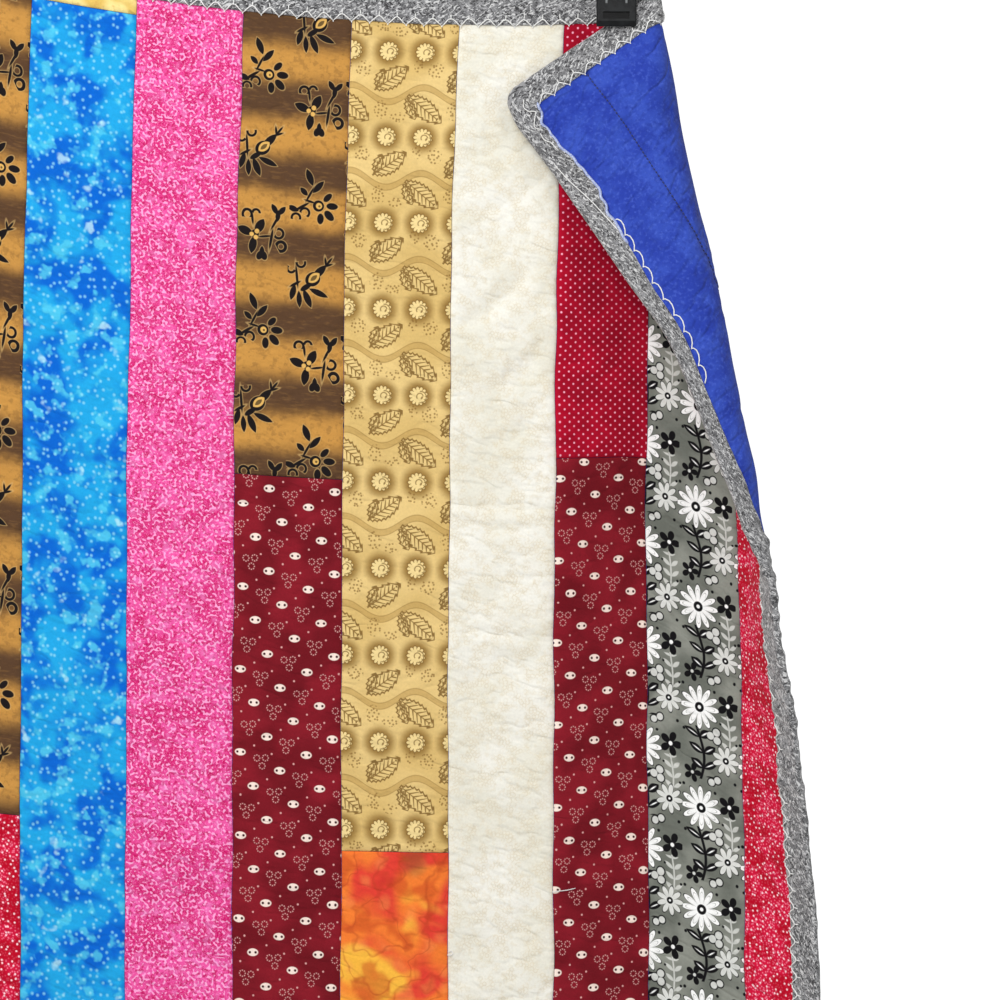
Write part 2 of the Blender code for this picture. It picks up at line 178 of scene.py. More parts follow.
def row_angles(u, v):
    """Turn towards the front and downward slope of the rows, in radians."""
    inward = HALF - u
    column = {name: table_column(name, v) for name in ROLL_COLUMNS}
    in_red = smooth((inward - RED_STRIP[0]) / TURN_SOFT + 0.5)
    in_red = in_red * smooth((RED_STRIP[1] - inward) / TURN_SOFT + 0.5)
    in_grey = smooth((RED_STRIP[0] - inward) / TURN_SOFT + 0.5)
    turned = smooth((column["turn_at"] - inward) / column["turn_over"] + 0.5)
    folded = smooth((column["fold_at"] - inward) / column["fold_over"] + 0.5)
    turn = column["red"] * in_red + column["grey"] * in_grey
    turn = turn + (column["turn_to"] - column["grey"]) * turned
    turn = np.radians(turn + (column["fold_to"] - column["turn_to"]) * folded)
    calm = smooth((inward - RED_STRIP[1]) / PLAIN_STRIP)
    flute = FLUTE * np.sin(2 * pi * u / FLUTE_PITCH) * calm
    turn = turn + flute * smooth((v - FLUTE_START) / FLUTE_GROWTH)
    tilt = np.radians(column["tilt"])
    slope = np.arcsin(np.sin(tilt) * np.cos(tilt) * (1 - np.cos(turn)) * in_grey)
    slope = slope + sag_slope(u) * np.exp(-v / SAG_FADE) * (1 - turned)
    fall = np.radians(column["fall"]) * np.cos(np.clip(turn, 0, pi / 2))
    return turn, slope + fall * in_grey


def walk(side, v):
    """Places along the rows at heights v, from the middle to one side (1 right, -1 left)."""
    steps = int(round((HALF + WALK_PAST) / WALK_STEP))
    ends = np.linspace(0, steps * WALK_STEP, steps + 1) * side
    middles = (ends[1:] + ends[:-1]) / 2
    turn, slope = row_angles(middles[None, :], v[:, None])
    level = np.cos(slope)
    ahead = np.stack([np.cos(turn) * level, -np.sin(turn) * level, -np.sin(slope)], -1)
    places = np.zeros((len(v), steps + 1, 3))
    places[:, 1:] = np.cumsum(ahead * WALK_STEP * side, axis=1)
    return ends, places


def hung(us, vs):
    """Points of the cloth at every (v, u) of the two lists, as an array [v, u, xyz]."""
    us, vs = np.asarray(us, float), np.asarray(vs, float)
    right_ends, right = walk(1, vs)
    left_ends, left = walk(-1, vs)
    ends = np.concatenate([left_ends[:0:-1], right_ends])
    places = np.concatenate([left[:, :0:-1], right], axis=1)
    found = np.empty((len(vs), len(us), 3))
    for row, line in enumerate(places):
        for axis in range(3):
            found[row, :, axis] = np.interp(us, ends, line[:, axis])
    lean = LEAN_TOP - LEAN_FAST * (1 - np.exp(-np.maximum(vs, 0) / LEAN_OVER)) - LEAN_SLOW * vs
    found[..., 0] += lean[:, None]
    found[..., 2] -= CLIP_ABOVE + vs[:, None]
    return found


def seam_places():
    """u of every seam line between two strips."""
    edges = -HALF + BINDING + np.cumsum([0, *STRIPS])
    return edges[1:-1]


# Creases: middle (u, v), direction in degrees from sideways (down is positive),
# half length, half width and height, all in millimetres.
CREASE_COLUMNS = ("u", "v", "angle", "long", "wide", "high")
CREASES = (
    (160, 420, 2, 30, 3.0, -0.55),
    (165, 428, 2, 26, 4.0, 0.35),
    (150, 300, -6, 22, 4.0, -0.25),
    (170, 560, 5, 30, 5.0, -0.30),
    (226, 382, 4, 34, 4.0, -0.35),
    (230, 417, 3, 36, 5.0, -0.40),
    (222, 520, -4, 30, 6.0, -0.35),
    (300, 300, 8, 26, 5.0, -0.25),
    (310, 452, 4, 30, 5.0, -0.25),
    (300, 470, -3, 26, 4.0, 0.20),
    (380, 377, 4, 34, 2.2, -0.75),
    (380, 384, 4, 32, 4.0, 0.45),
    (392, 393, -3, 22, 3.0, -0.35),
    (392, 470, 6, 32, 3.0, -0.55),
    (384, 478, 3, 30, 4.0, 0.30),
    (382, 224, -43, 30, 6.0, -0.85),
    (392, 232, -43, 26, 7.0, 0.50),
    (386, 152, -30, 26, 7.0, -0.60),
    (402, 272, -48, 26, 7.0, -0.75),
    (376, 110, -35, 24, 7.0, -0.45),
    (398, 320, -40, 24, 7.0, -0.50),
    (370, 600, 8, 30, 6.0, -0.30),
    (440, 430, -8, 26, 5.0, -0.30),
    (446, 560, 6, 28, 6.0, -0.30),
    (514, 470, 14, 26, 5.0, -0.40),
    (512, 540, -10, 26, 6.0, -0.35),
    (560, 70, 35, 30, 4.0, 0.45),
    (548, 150, 55, 34, 5.0, 0.55),
    (572, 205, 20, 26, 4.0, -0.45),
    (590, 118, 80, 26, 4.0, 0.40),
    (540, 245, 62, 40, 6.0, 0.50),
    (580, 280, 25, 22, 4.0, 0.40),
)
CREASE_GAIN = 2.2
CREASE_BOW = 0.6
CREASE_FADE = 1.5
SWELLS = 14
SWELL_SEED = 5
SWELL_PITCH = (0.045, 0.15)
SWELL_HEIGHT = 0.00060
PUCKER_PITCH = 0.0105
PUCKER_REACH = 0.012
PUCKER_HEIGHT = 0.00044
PUCKER_SWAY = 2.1
# Radians per metre at which the gathers drift along a seam and grow and shrink.
PUCKER_DRIFT = 37
PUCKER_GROWTH = 61


def swells(u, v):
    """Soft unevenness of washed cloth: a few waves of different length and direction."""
    rng = np.random.default_rng(SWELL_SEED)
    total = np.zeros(np.broadcast(u, v).shape)
    for _ in range(SWELLS):
        way = rng.uniform(0, pi)
        pitch = rng.uniform(*SWELL_PITCH)
        phase = rng.uniform(0, 2 * pi)
        total += np.sin((u * cos(way) + v * sin(way)) * 2 * pi / pitch + phase)
    return total * SWELL_HEIGHT * (2 / SWELLS) ** 0.5


def creases(u, v):
    """The creases of CREASES, each a bowed trough or ridge that fades at both ends."""
    total = np.zeros(np.broadcast(u, v).shape)
    for row in CREASES:
        c = dict(zip(CREASE_COLUMNS, row))
        way = radians(c["angle"])
        du, dv = u - c["u"] * MM, v - c["v"] * MM
        along = du * cos(way) + dv * sin(way)
        long, wide, high = c["long"] * MM, c["wide"] * MM, c["high"] * MM
        across = dv * cos(way) - du * sin(way) + (along / long) ** 2 * wide * CREASE_BOW
        fade = smooth(CREASE_FADE - np.abs(along) / long)
        total += CREASE_GAIN * high * fade * np.exp(-((across / wide) ** 2))
    return total


def puckers(u, v):
    """Small gathers along every seam, where the quilting line draws the layers together."""
    total = np.zeros(np.broadcast(u, v).shape)
    for k, seam in enumerate(seam_places()):
        near = np.exp(-(((u - seam) / PUCKER_REACH) ** 2))
        sway = PUCKER_SWAY * np.sin(v * PUCKER_DRIFT + k * 1.7)
        wave = np.sin(2 * pi * v / PUCKER_PITCH + k + sway)
        total += near * wave * PUCKER_HEIGHT * (0.6 + 0.4 * np.sin(v * PUCKER_GROWTH + k))
    return total


def relief(u, v):
    return swells(u, v) + creases(u, v) + puckers(u, v)


class Cloth:
    """The hung cloth on a fine grid: the middle face and its normals towards the front."""

    def __init__(self):
        self.u0, self.v0 = -HALF - GRID_PAST, -GRID_PAST
        self.us = np.arange(self.u0, HALF + GRID_PAST, GRID_U)
        self.vs = np.arange(self.v0, LENGTH + GRID_PAST, GRID_V)
        places = hung(self.us, self.vs)
        normals = self.normals_of(places)
        uu, vv = np.meshgrid(self.us, self.vs)
        self.places = places + normals * relief(uu, vv)[..., None]
        self.normals = self.normals_of(self.places)

    @staticmethod
    def normals_of(places):
        down, across = np.gradient(places, axis=0), np.gradient(places, axis=1)
        normals = np.cross(down, across)
        return normals / np.linalg.norm(normals, axis=-1, keepdims=True)

    def at(self, u, v, w):
        """Points of the hung cloth for flat arrays of the same shape."""
        u, v, w = np.broadcast_arrays(u, v, w)
        i = np.clip((u - self.u0) / GRID_U, 0, len(self.us) - 1.001)
        j = np.clip((v - self.v0) / GRID_V, 0, len(self.vs) - 1.001)
        i0, j0 = i.astype(int), j.astype(int)
        fi, fj = (i - i0)[..., None], (j - j0)[..., None]

        def blend(grid):
            top = grid[j0, i0] * (1 - fi) + grid[j0, i0 + 1] * fi
            low = grid[j0 + 1, i0] * (1 - fi) + grid[j0 + 1, i0 + 1] * fi
            return top * (1 - fj) + low * fj

        return blend(self.places) + blend(self.normals) * w[..., None]


# ---------------------------------------------------------------- colours


def dye(red, green, blue):
    """Linear colour of a screen colour, 0 to 255 each."""
    parts = np.array([red, green, blue]) / 255
    linear = np.where(parts < 0.04045, parts / 12.92, ((parts + 0.055) / 1.055) ** 2.4)
    return tuple(float(x) for x in linear)


# ---------------------------------------------------------------- shader arithmetic


class Wire:
    """A number or a point carried by shader nodes. Arithmetic on wires adds the nodes for it."""

    def __init__(self, tree, socket):
        self.tree, self.socket = tree, socket

    def __add__(self, other):
        return calc("ADD", self, other)

    def __sub__(self, other):
        return calc("SUBTRACT", self, other)

    def __mul__(self, other):
        return calc("MULTIPLY", self, other)

    def __truediv__(self, other):
        return calc("DIVIDE", self, other)

    def __rsub__(self, other):
        return calc("SUBTRACT", other, self)

    def __abs__(self):
        return calc("ABSOLUTE", self)

    __radd__ = __add__
    __rmul__ = __mul__


def plug(socket, value):
    """Links a wire to a socket, or sets the socket to a number or colour."""
    if isinstance(value, Wire):
        value.tree.links.new(value.socket, socket)
    elif isinstance(value, (int, float)):
        socket.default_value = value
    else:
        size = len(socket.default_value)
        socket.default_value = (*value, 1.0)[:size] if len(value) < size else tuple(value)[:size]


def settle(node, **inputs):
    """Sets or links a node's inputs by their names, with underscores for spaces."""
    for name, value in inputs.items():
        plug(node.inputs[name.replace("_", " ")], value)


def tree_of(parts):
    return next(part.tree for part in parts if isinstance(part, Wire))


def added(kind, parts, out=0, **settings):
    """A new node of a kind, its first inputs taken by the parts, and the wire it gives."""
    tree = tree_of(parts)
    node = tree.nodes.new("ShaderNode" + kind)
    for name, value in settings.items():
        setattr(node, name, value)
    for socket, part in zip(node.inputs, parts):
        plug(socket, part)
    return node, Wire(tree, node.outputs[out])


def calc(operation, *parts, clamp=False):
    return added("Math", parts, operation=operation, use_clamp=clamp)[1]


def both(*shapes):
    """Where all the shapes overlap."""
    return calc("MAXIMUM", *shapes)


def spot_calc(operation, *parts, number=False):
    """Arithmetic on points. The answer is a number for a length, distance or dot product."""
    return added("VectorMath", parts, out=1 if number else 0, operation=operation)[1]


def scaled(spot, factor):
    node, found = added("VectorMath", [spot], operation="SCALE")
    settle(node, Scale=factor)
    return found


def split(spot):
    node, across = added("SeparateXYZ", [spot])
    return across, Wire(spot.tree, node.outputs[1])


def join(x, y):
    return added("CombineXYZ", (x, y))[1]


def local(spot, x, y, angle=0, long=1, wide=1):
    """The spot seen from (x, y), turned by angle degrees and scaled by the half sizes."""
    parts = (spot, (x, y, 0), (0, 0, radians(angle)), (long, wide, 1))
    return added("Mapping", parts, vector_type="TEXTURE")[1]


def wrapped(spot, across, down):
    """The spot inside its own cell of a plain lattice, whose cells are centred on the points."""
    return spot_calc("WRAP", spot, (across / 2, down / 2, 1), (-across / 2, -down / 2, -1))


def blot(spot, x, y, radius):
    return spot_calc("DISTANCE", spot, (x, y, 0), number=True) - radius


def oval(spot, x, y, long, wide, angle=0):
    """Rough distance outside an ellipse, below zero inside it."""
    away = spot_calc("LENGTH", local(spot, x, y, angle, long, wide), number=True)
    return calc("MULTIPLY_ADD", away, min(long, wide), -min(long, wide))


def leaf(spot, x, y, long, wide, angle=0):
    """Rough distance outside a leaf with two points, the overlap of two circles."""
    radius = (long**2 + wide**2) / (2 * wide)
    a, off = radians(angle), radius - wide
    sides = [(x - s * off * sin(a), y + s * off * cos(a), 0) for s in (1, -1)]
    return both(*(spot_calc("DISTANCE", spot, side, number=True) for side in sides)) - radius


def ring(spot, x, y, radius, half):
    return abs(blot(spot, x, y, radius)) - half


def arc(spot, x, y, radius, half, line_x, line_y, angle):
    """The part of a ring on the side of a line that angle points away from."""
    a = radians(angle)
    beyond = spot_calc("DOT_PRODUCT", spot, (cos(a), sin(a), 0), number=True)
    return both(ring(spot, x, y, radius, half), beyond - (line_x * cos(a) + line_y * sin(a)))


def union(*shapes):
    found = shapes[0]
    for shape in shapes[1:]:
        found = calc("MINIMUM", found, shape)
    return found


def drawn(spot, shapes):
    """The union of a table of shapes, {kind of shape: rows of its numbers}."""
    return union(*(kind(spot, *row) for kind, rows in shapes.items() for row in rows))


def ink(shape, soft=0.7):
    """How much of a shape covers the spot, from 0 to 1, with a soft edge."""
    return calc("MULTIPLY_ADD", shape, -1 / soft, 0.5, clamp=True)


def mix(amount, under, over):
    tree = tree_of((amount, under, over))
    node = tree.nodes.new("ShaderNodeMix")
    node.data_type = "RGBA"
    node.clamp_factor = True
    for place, part in ((0, amount), (6, under), (7, over)):
        plug(node.inputs[place], part)
    return Wire(tree, node.outputs[2])


def ramp(value, low, high):
    """From 0 to 1 while the value goes from low to high, smoothly."""
    return added("MapRange", (value, low, high), interpolation_type="SMOOTHSTEP")[1]


def noise(spot, size, detail=1.0, rough=0.5, seed=0, bend=0.0):
    """Cloudy noise from about 0.2 to 0.8, whose blotches are about `size` units wide."""
    moved = spot_calc("ADD", spot, (seed * 37.0, seed * 91.0, seed * 13.0 + 0.5)) if seed else spot
    node, found = added("TexNoise", [moved], noise_dimensions="3D")
    settle(node, Scale=1 / size, Detail=detail, Roughness=rough, Distortion=bend)
    return found


def cells(spot, size, loose=1.0, seed=0):
    """Cell noise: the distance to the nearest of scattered points, in cell widths."""
    moved = spot_calc("ADD", spot, (seed * 53.0, seed * 29.0, 0)) if seed else spot
    node, found = added("TexVoronoi", [moved], voronoi_dimensions="2D")
    settle(node, Scale=1 / size, Randomness=loose)
    return found


def flat_spot(tree):
    """The place on the flat cloth, in print units."""
    node = tree.nodes.new("ShaderNodeUVMap")
    node.uv_map = "flat"
    return spot_calc("MULTIPLY", Wire(tree, node.outputs[0]), (1 / UNIT, 1 / UNIT / DRAWN_UP, 1.0))


def cloud(p, size, detail, seed, low=0.35, high=0.65):
    """Soft blotches: noise taken from 0 to 1 between low and high."""
    return ramp(noise(p, size, detail, seed=seed), low, high)


def dyed(p, size, detail, seed, deep, light):
    """Uneven dye between two screen colours."""
    return mix(cloud(p, size, detail, seed), dye(*deep), dye(*light))


def coated(base, *coats):
    """The base under coats of (how much it covers, screen colour)."""
    for amount, colour in coats:
        base = mix(amount, base, dye(*colour))
    return base


# ---------------------------------------------------------------- prints


def print_pink(p):
    """Pink with a dense scatter of light dabs and darker flecks over uneven dye."""
    fine = noise(p, 2.6, 0.0, seed=1, bend=0.5)
    return coated(
        dyed(p, 24, 2.0, 3, (216, 40, 120), (238, 84, 162)),
        (cloud(p, 3.2, 1.0, 4, 0.52, 0.36) * 0.85, (198, 14, 94)),
        (ramp(abs(fine - 0.5), 0.050, 0.0) * 0.6, (252, 150, 208)),
        (cloud(p, 2.9, 0.0, 2, 0.56, 0.66) * 0.82, (255, 178, 224)),
        (cloud(p, 11, 1.0, 5, 0.55, 0.72) * 0.35, (246, 150, 214)),
    )


SPRIG_INK = (24, 19, 20)
SPRIG_SCALE = 1.06
SPRIG_COLUMN = 53.5
SPRIG_ROW = 126.0
BAND_PITCH = 72.7
# Three sprigs: place across and down, then the shapes inked, gilt, and inked over the gilt.
SPRIGS = (
    (2.5, 0.0, {
        oval: (
            (0, 0, 5.4, 5.4), (8.6, -8.2, 5.0, 2.9, -45), (13.0, -0.4, 5.6, 3.4, 2),
            (10.4, 8.6, 5.8, 3.6, 46), (2.2, 12.0, 5.2, 3.2, 92), (-8.5, -3.8, 5.4, 1.2, 14),
            (-8.4, -10, 8.4, 1.2, -62), (-16, 2.0, 9.0, 1.4, -32),
        ),
        leaf: (
            (-8.8, -26, 8.4, 3.2, 68), (-0.6, -17.5, 7.8, 2.9, -48), (-14, -12.5, 5.0, 2.6, 45),
            (-24, 4.0, 6.0, 2.8, 20),
        ),
        arc: ((-12.8, 7.2, 4.2, 1.2, -14, 9, 120), (-21, 12.5, 4.0, 1.2, -21, 14, 90)),
    }, {blot: ((0.5, 0, 2.9),)}, {blot: ((0.9, 0.3, 1.1),)}),
    (-1.0, 71.1, {
        oval: (
            (-0.6, 1.6, 7.6, 6.4, -40), (13.5, -12.2, 5.0, 1.2, -18), (11.4, -15, 4.8, 1.2, -98),
            (14.6, -15.6, 5.0, 1.2, -52), (-7, 9.5, 6.0, 2.6, -35), (-15.5, 0, 11.0, 1.3, 84),
            (-17, 7, 6.0, 1.4, -30),
        ),
        leaf: (
            (5.5, -5.5, 9.5, 3.6, -46), (-19, 14.7, 7.8, 2.9, 104), (-5.4, 20, 9.4, 3.2, 66),
            (5.0, 14.2, 9.8, 2.9, 22), (-13, 21, 8.0, 2.6, 86),
        ),
        arc: ((-12, -13, 4.0, 1.2, -12, -14, -100), (-21, -7, 3.6, 1.2, -21, -8, -60)),
    }, {leaf: ((0.6, 0.2, 6.6, 3.9, -42),)}, {leaf: ((0.4, 0.4, 4.2, 1.9, -42),)}),
    (-7.0, 158.0, {
        oval: (
            (0, 0, 4.0, 4.0), (9.5, 2.0, 6.5, 1.2, -8), (15.6, 4, 10.0, 1.4, 98),
            (19, -12, 9.0, 1.3, -62), (-2.6, -14, 6.0, 1.2, 84), (5.4, 20, 3.1, 4.4, 24),
            (9.2, 20, 3.1, 4.4, -24),
        ),
        leaf: (
            (4.4, -7.2, 8.0, 4.2, -62), (-9.0, -2.2, 8.2, 4.0, 22), (-1.6, 10.6, 8.4, 3.8, 98),
            (18.2, -24, 5.6, 2.6, 60), (25.0, -23, 5.4, 2.6, -50), (21.4, -18, 5.8, 2.4, -84),
            (7.3, 16.4, 5.4, 2.4, -90),
        ),
        arc: (
            (22.5, -1.5, 4.4, 1.3, 20, -3, 200), (25.0, 10.5, 4.4, 1.6, 22, 13, 150),
            (-7.6, -17.5, 4.2, 1.3, -8, -15, 90), (0.8, -19, 3.4, 1.2, 1, -19, 90),
        ),
    }, {blot: ((-3.0, 0.6, 2.1), (1.9, -2.4, 2.2), (1.0, 3.4, 2.1))}, {}),
)


def print_brown(p):
    """Shaded gold and brown bands under black sprigs with a light edge."""
    x, y = split(local(p, 297.5, 88.4))
    column = calc("ROUND", x / SPRIG_COLUMN)
    x, y = x - column * SPRIG_COLUMN, y - column * SPRIG_ROW
    streaks = noise(local(p, 0, 0, 0, 4, 1), 2.4, 2.0, seed=1)
    waver = noise(p, 26, 2.0, seed=3) * 1.3 + streaks * 0.3 - 0.8
    band = calc("SINE", (y + column * SPRIG_ROW + 31.1) * (2 * pi / BAND_PITCH) + waver)
    layers = ([], [], [])
    for dx, dy, *tables in SPRIGS:
        around = calc("WRAP", y - dy, SPRIG_ROW, -SPRIG_ROW)
        q = join((x - dx) / SPRIG_SCALE, around / SPRIG_SCALE)
        for layer, table in zip(layers, tables):
            if table:
                layer.append(drawn(q, table))
    shape, gold, heart = (union(*layer) for layer in layers)
    return coated(
        mix(ramp(band, -0.85, 0.95), dye(88, 62, 42), dye(198, 144, 70)),
        (ramp(streaks, 0.50, 0.72) * 0.10, (206, 154, 84)),
        (cloud(p, 5, 2.0, 4, 0.50, 0.34) * 0.30, (96, 66, 40)),
        (ink(shape - 0.55, 0.6) * 0.5, (222, 184, 120)),
        (ink(shape, 0.6), SPRIG_INK),
        (ink(gold, 0.6), (222, 176, 96)),
        (ink(heart, 0.5) * 0.8, SPRIG_INK),
    )


ROSETTE_LOBES = 6.5
TOOTH = 0.62


def rosette(q):
    """Round beaded flower with a curled heart: distance from its middle, its body and lines."""
    x, y = split(q)
    away = spot_calc("LENGTH", q, number=True)
    lobes = abs(calc("SINE", calc("ARCTAN2", y, x) * ROSETTE_LOBES)) * 2.2
    rim = away - 7.6 - lobes
    heart = drawn(q, {
        arc: ((1.6, 0.4, 3.2, 0.5, 0, 2, 70), (2.4, 1.0, 5.6, 0.5, 1.5, 0, 180)),
        oval: ((3.6, 1.6, 1.6, 0.9, -60),),
    })
    beads = both(both(6.4 - away, away - 8.8), lobes - 0.7)
    return away, rim, union(abs(rim) - 0.55, heart, beads)


def toothed_leaf(q, x, y, long, wide, angle):
    """Leaf with a notched edge: its outline distance and the lines drawn inside it."""
    along = local(q, x, y, angle)
    sx, sy = split(along)
    aside = abs(sy)
    notch = abs(calc("SINE", sx * TOOTH + aside * 0.35)) * 1.7
    shape = leaf(along, 0, 0, long, wide) + notch - 0.8
    midrib = both(aside - 0.5, abs(sx + 2.0) - long + 4.0)
    ribs = abs(calc("SINE", (sx - aside * 0.9) * TOOTH)) * 2.4 - 1.45 + aside * 0.11
    return shape, union(abs(shape) - 0.95, midrib, both(ribs, shape + 1.6))


TAN_ACROSS = 72.4
TAN_DOWN = 85.2
TAN_LEAVES = (
    (-16.0, -14.2, 19.5, 9.0, -36), (-27.5, -13.6, 10.0, 4.6, -70), (17.6, 15.2, 21.5, 9.2, 38),
    (3.6, 15.4, 11.0, 5.0, 66),
)
TAN_SPRAYS = (
    (28.0, -23.0, 8.0, 8.0), (11.0, -27.0, 5.0, 7.0), (-26.0, 17.0, 7.0, 9.0),
    (-9.0, 24.0, 8.0, 5.0),
)


def print_tan(p):
    """Tone on tone: rows of rosettes, a waving vine and toothed leaves above and below it."""
    q = local(p, 419.1, 56.9)
    away, rim, lines = rosette(wrapped(q, TAN_ACROSS / 2, TAN_DOWN))
    tile = wrapped(local(q, 20.0, 41.2), TAN_ACROSS, TAN_DOWN)
    tx, ty = split(tile)
    wave = calc("COSINE", (tx - 16.4) * (2 * pi / TAN_ACROSS)) * -7.6
    vine = abs(ty - wave - 1.6) - 3.0
    sprays = ink(drawn(tile, {oval: TAN_SPRAYS}), 1.0)
    specks = ink((cells(p, 3.6, 0.8, seed=2) - 0.27) * 4.0, 0.8)
    leaves, veins = zip(*(toothed_leaf(tile, *row) for row in TAN_LEAVES))
    return coated(
        dyed(p, 60, 1.0, 1, (216, 183, 114), (230, 199, 132)),
        (ramp(away, 20.0, 9.0) * 0.95, (150, 116, 58)),
        (ink(vine, 1.4) * 0.6, (186, 150, 84)),
        (ink(abs(vine) - 0.5, 0.7) * 0.55, (146, 112, 56)),
        (sprays * specks * 0.8, (136, 102, 50)),
        (ink(union(*leaves), 0.9) * 0.6, (232, 203, 137)),
        (ink(union(*veins), 0.8) * 0.9, (122, 90, 40)),
        (ink(rim, 0.9), (238, 212, 148)),
        (ink(lines, 0.8) * 0.9, (124, 92, 42)),
    )


RING_DOTS = 8


def dotted_ring(q, x, y, radius, dot):
    """Ring of dots, as a rough distance."""
    r = local(q, x, y)
    rx, ry = split(r)
    half = pi / RING_DOTS
    away = spot_calc("LENGTH", r, number=True)
    beside = (half - calc("PINGPONG", calc("ARCTAN2", ry, rx) + half, half)) * radius
    return both(abs(away - radius), beside) - dot


def slanted(q, dx, dy, across, down, shift):
    """The spot in its cell of a lattice whose rows each start further along, and its row."""
    x, y = split(local(q, dx, dy))
    row = calc("ROUND", y / down)
    return wrapped(join(x - row * shift, y - row * down), across, down), row


BURGUNDY_LATTICE = (65.6, 16.15, -26.3)
RINGS_OF_THREE = ((-4.6, -3.6, 2.9, 0.52), (3.9, -3.0, 2.9, 0.52), (-1.4, 4.4, 2.9, 0.52))


def print_burgundy(p):
    """Light ovals with two dark dots, rings of dots in threes and single dots, all slanted."""
    q = local(p, 622.9, 462.9)
    ovals, _ = slanted(q, 0, 0, *BURGUNDY_LATTICE)
    threes, row = slanted(q, 20.5, 8.0, *BURGUNDY_LATTICE)
    tx, ty = split(threes)
    turned = join(tx * (calc("PINGPONG", row, 1.0) * 2.0 - 1.0), ty)
    rings = drawn(turned, {dotted_ring: RINGS_OF_THREE})
    places = ((-12.5, 9.0), (5.0, 16.5))
    singles = (blot(slanted(q, *place, *BURGUNDY_LATTICE)[0], 0, 0, 0.95) for place in places)
    return coated(
        dyed(p, 40, 1.0, 1, (112, 16, 28), (136, 24, 38)),
        (ink(union(*singles, rings), 0.7), (222, 164, 160)),
        (ink(oval(ovals, 0, 0, 5.4, 3.6), 0.7), (246, 226, 214)),
        (ink(drawn(ovals, {blot: ((-2.9, 0, 1.25), (2.9, 0, 1.25))}), 0.7), (58, 14, 22)),
    )


def print_white(p):
    """Cream with a faint floral mottle in beige."""
    clump = cloud(p, 15, 2.0, 1, 0.40, 0.62)
    rounds = abs(cells(p, 4.2, 1.0, seed=2) - 0.42) - 0.09
    return coated(
        dyed(p, 70, 2.0, 3, (230, 227, 212), (240, 238, 228)),
        (clump * 0.25, (229, 219, 194)),
        (cloud(p, 6, 2.0, 4, 0.54, 0.66) * 0.30, (222, 211, 184)),
        (ink(rounds * 5.0, 1.0) * clump * 0.55, (212, 199, 170)),
    )


PIN_LATTICE = (9.96, 4.15, 4.98)


def print_pin_dot(p):
    """Pale pin dots on bright red."""
    cell, _ = slanted(local(p, 622.0, 460.0), 0, 0, *PIN_LATTICE)
    ground = dyed(p, 30, 1.0, 1, (160, 4, 36), (180, 6, 42))
    return coated(ground, (ink(blot(cell, 0, 0, 0.95), 0.7), (255, 176, 200)))


def petals_round(q, x, y, count, inner, reach):
    """Flower with an even ring of petals: outline distance and distance from its middle."""
    around = local(q, x, y)
    px, py = split(around)
    away = spot_calc("LENGTH", around, number=True)
    lobes = abs(calc("COSINE", calc("ARCTAN2", py, px) * (count / 2)))
    return away - inner - calc("POWER", lobes, 0.7) * reach, away


FLORAL_ACROSS = 62.0
FLORAL_DOWN = 100.0
# Flowers of a cell: place, number of petals, middle and reach of the petals.
FLOWERS = (
    (-11, -26, 12, 6.0, 15.5), (17, 22, 9, 4.2, 10.0), (20, -33, 5, 3.2, 9.0),
    (-19, 40, 5, 2.4, 7.4),
)
BERRIES = ((1, 0, 3.8), (7.5, -4.5, 3.8), (8, 3.5, 3.8), (1.5, 46, 3.4), (8, 43, 3.4))
FLORAL_DOTS = (
    (5, -44, 1.6), (27, 43, 1.6), (29, 4, 1.4), (-28, -2, 1.6), (4, 13, 1.4), (-29, -47, 1.6),
    (12, -14, 1.3),
)


def print_grey_floral(p):
    """Plain floral in black and white on grey: daisies, leafy stems, blossoms and berries."""
    x, y = split(local(p, 699.0, 470.0))
    column = calc("ROUND", x / FLORAL_ACROSS)
    shifted = join(x - column * FLORAL_ACROSS, y - column * (FLORAL_DOWN / 2))
    cell = wrapped(shifted, FLORAL_ACROSS, FLORAL_DOWN)
    sx, sy = split(cell)
    flowers = [petals_round(cell, *row) for row in FLOWERS]
    (daisy, away), (second, near), (blossom, heart), (bud, core) = flowers
    turn = 2 * pi / FLORAL_DOWN
    across = sx + 12.0 - calc("SINE", sy * turn) * 6.0
    stem = both(abs(across) - 1.5, abs(sy - 19.0) - 26.0)
    pairs = join(abs(across), calc("WRAP", sy - 3.0, 7.5, -7.5))
    reach = abs(sy - 18.0)
    leaves = both(leaf(pairs, 7.0, -3.0, 8.2, 3.9, -30), reach - 24.0)
    vein = both(oval(pairs, 6.6, -2.8, 3.8, 0.6, -30), reach - 22.0)
    other = abs(sx - 19.0 - calc("COSINE", sy * turn) * 3.0)
    pale_reach = abs(sy + 6.0)
    pale_stem = both(other - 0.8, pale_reach - 17.0)
    pale_pairs = join(other, calc("WRAP", sy + 1.0, 5.0, -5.0))
    pale = both(leaf(pale_pairs, 4.6, -1.6, 5.2, 2.0, -38), pale_reach - 16.0)
    berries, dots = drawn(cell, {blot: BERRIES}), drawn(cell, {blot: FLORAL_DOTS})
    black, white = (14, 13, 16), (246, 247, 245)
    return coated(
        dyed(p, 40, 2.0, 1, (106, 110, 102), (140, 143, 134)),
        (ink(union(pale, pale_stem), 0.7) * 0.8, (214, 216, 210)),
        (ink(union(stem, leaves, dots, berries - 1.3, bud), 0.7), black),
        (ink(vein, 0.6), white),
        (ink(union(berries, core - 1.6), 0.7), (208, 210, 205)),
        (ink(union(daisy, second) - 1.2, 0.7), black),
        (ink(daisy, 0.8), white),
        (ink(second, 0.8), (216, 218, 213)),
        (ink(abs(daisy + 4.5) - 0.5, 0.7) * 0.6, (120, 122, 118)),
        (ink(union(away - 5.0, near - 3.4, blossom), 0.7), black),
        (ink(union(heart - 2.0, away - 1.8, near - 1.1), 0.7), white),
    )


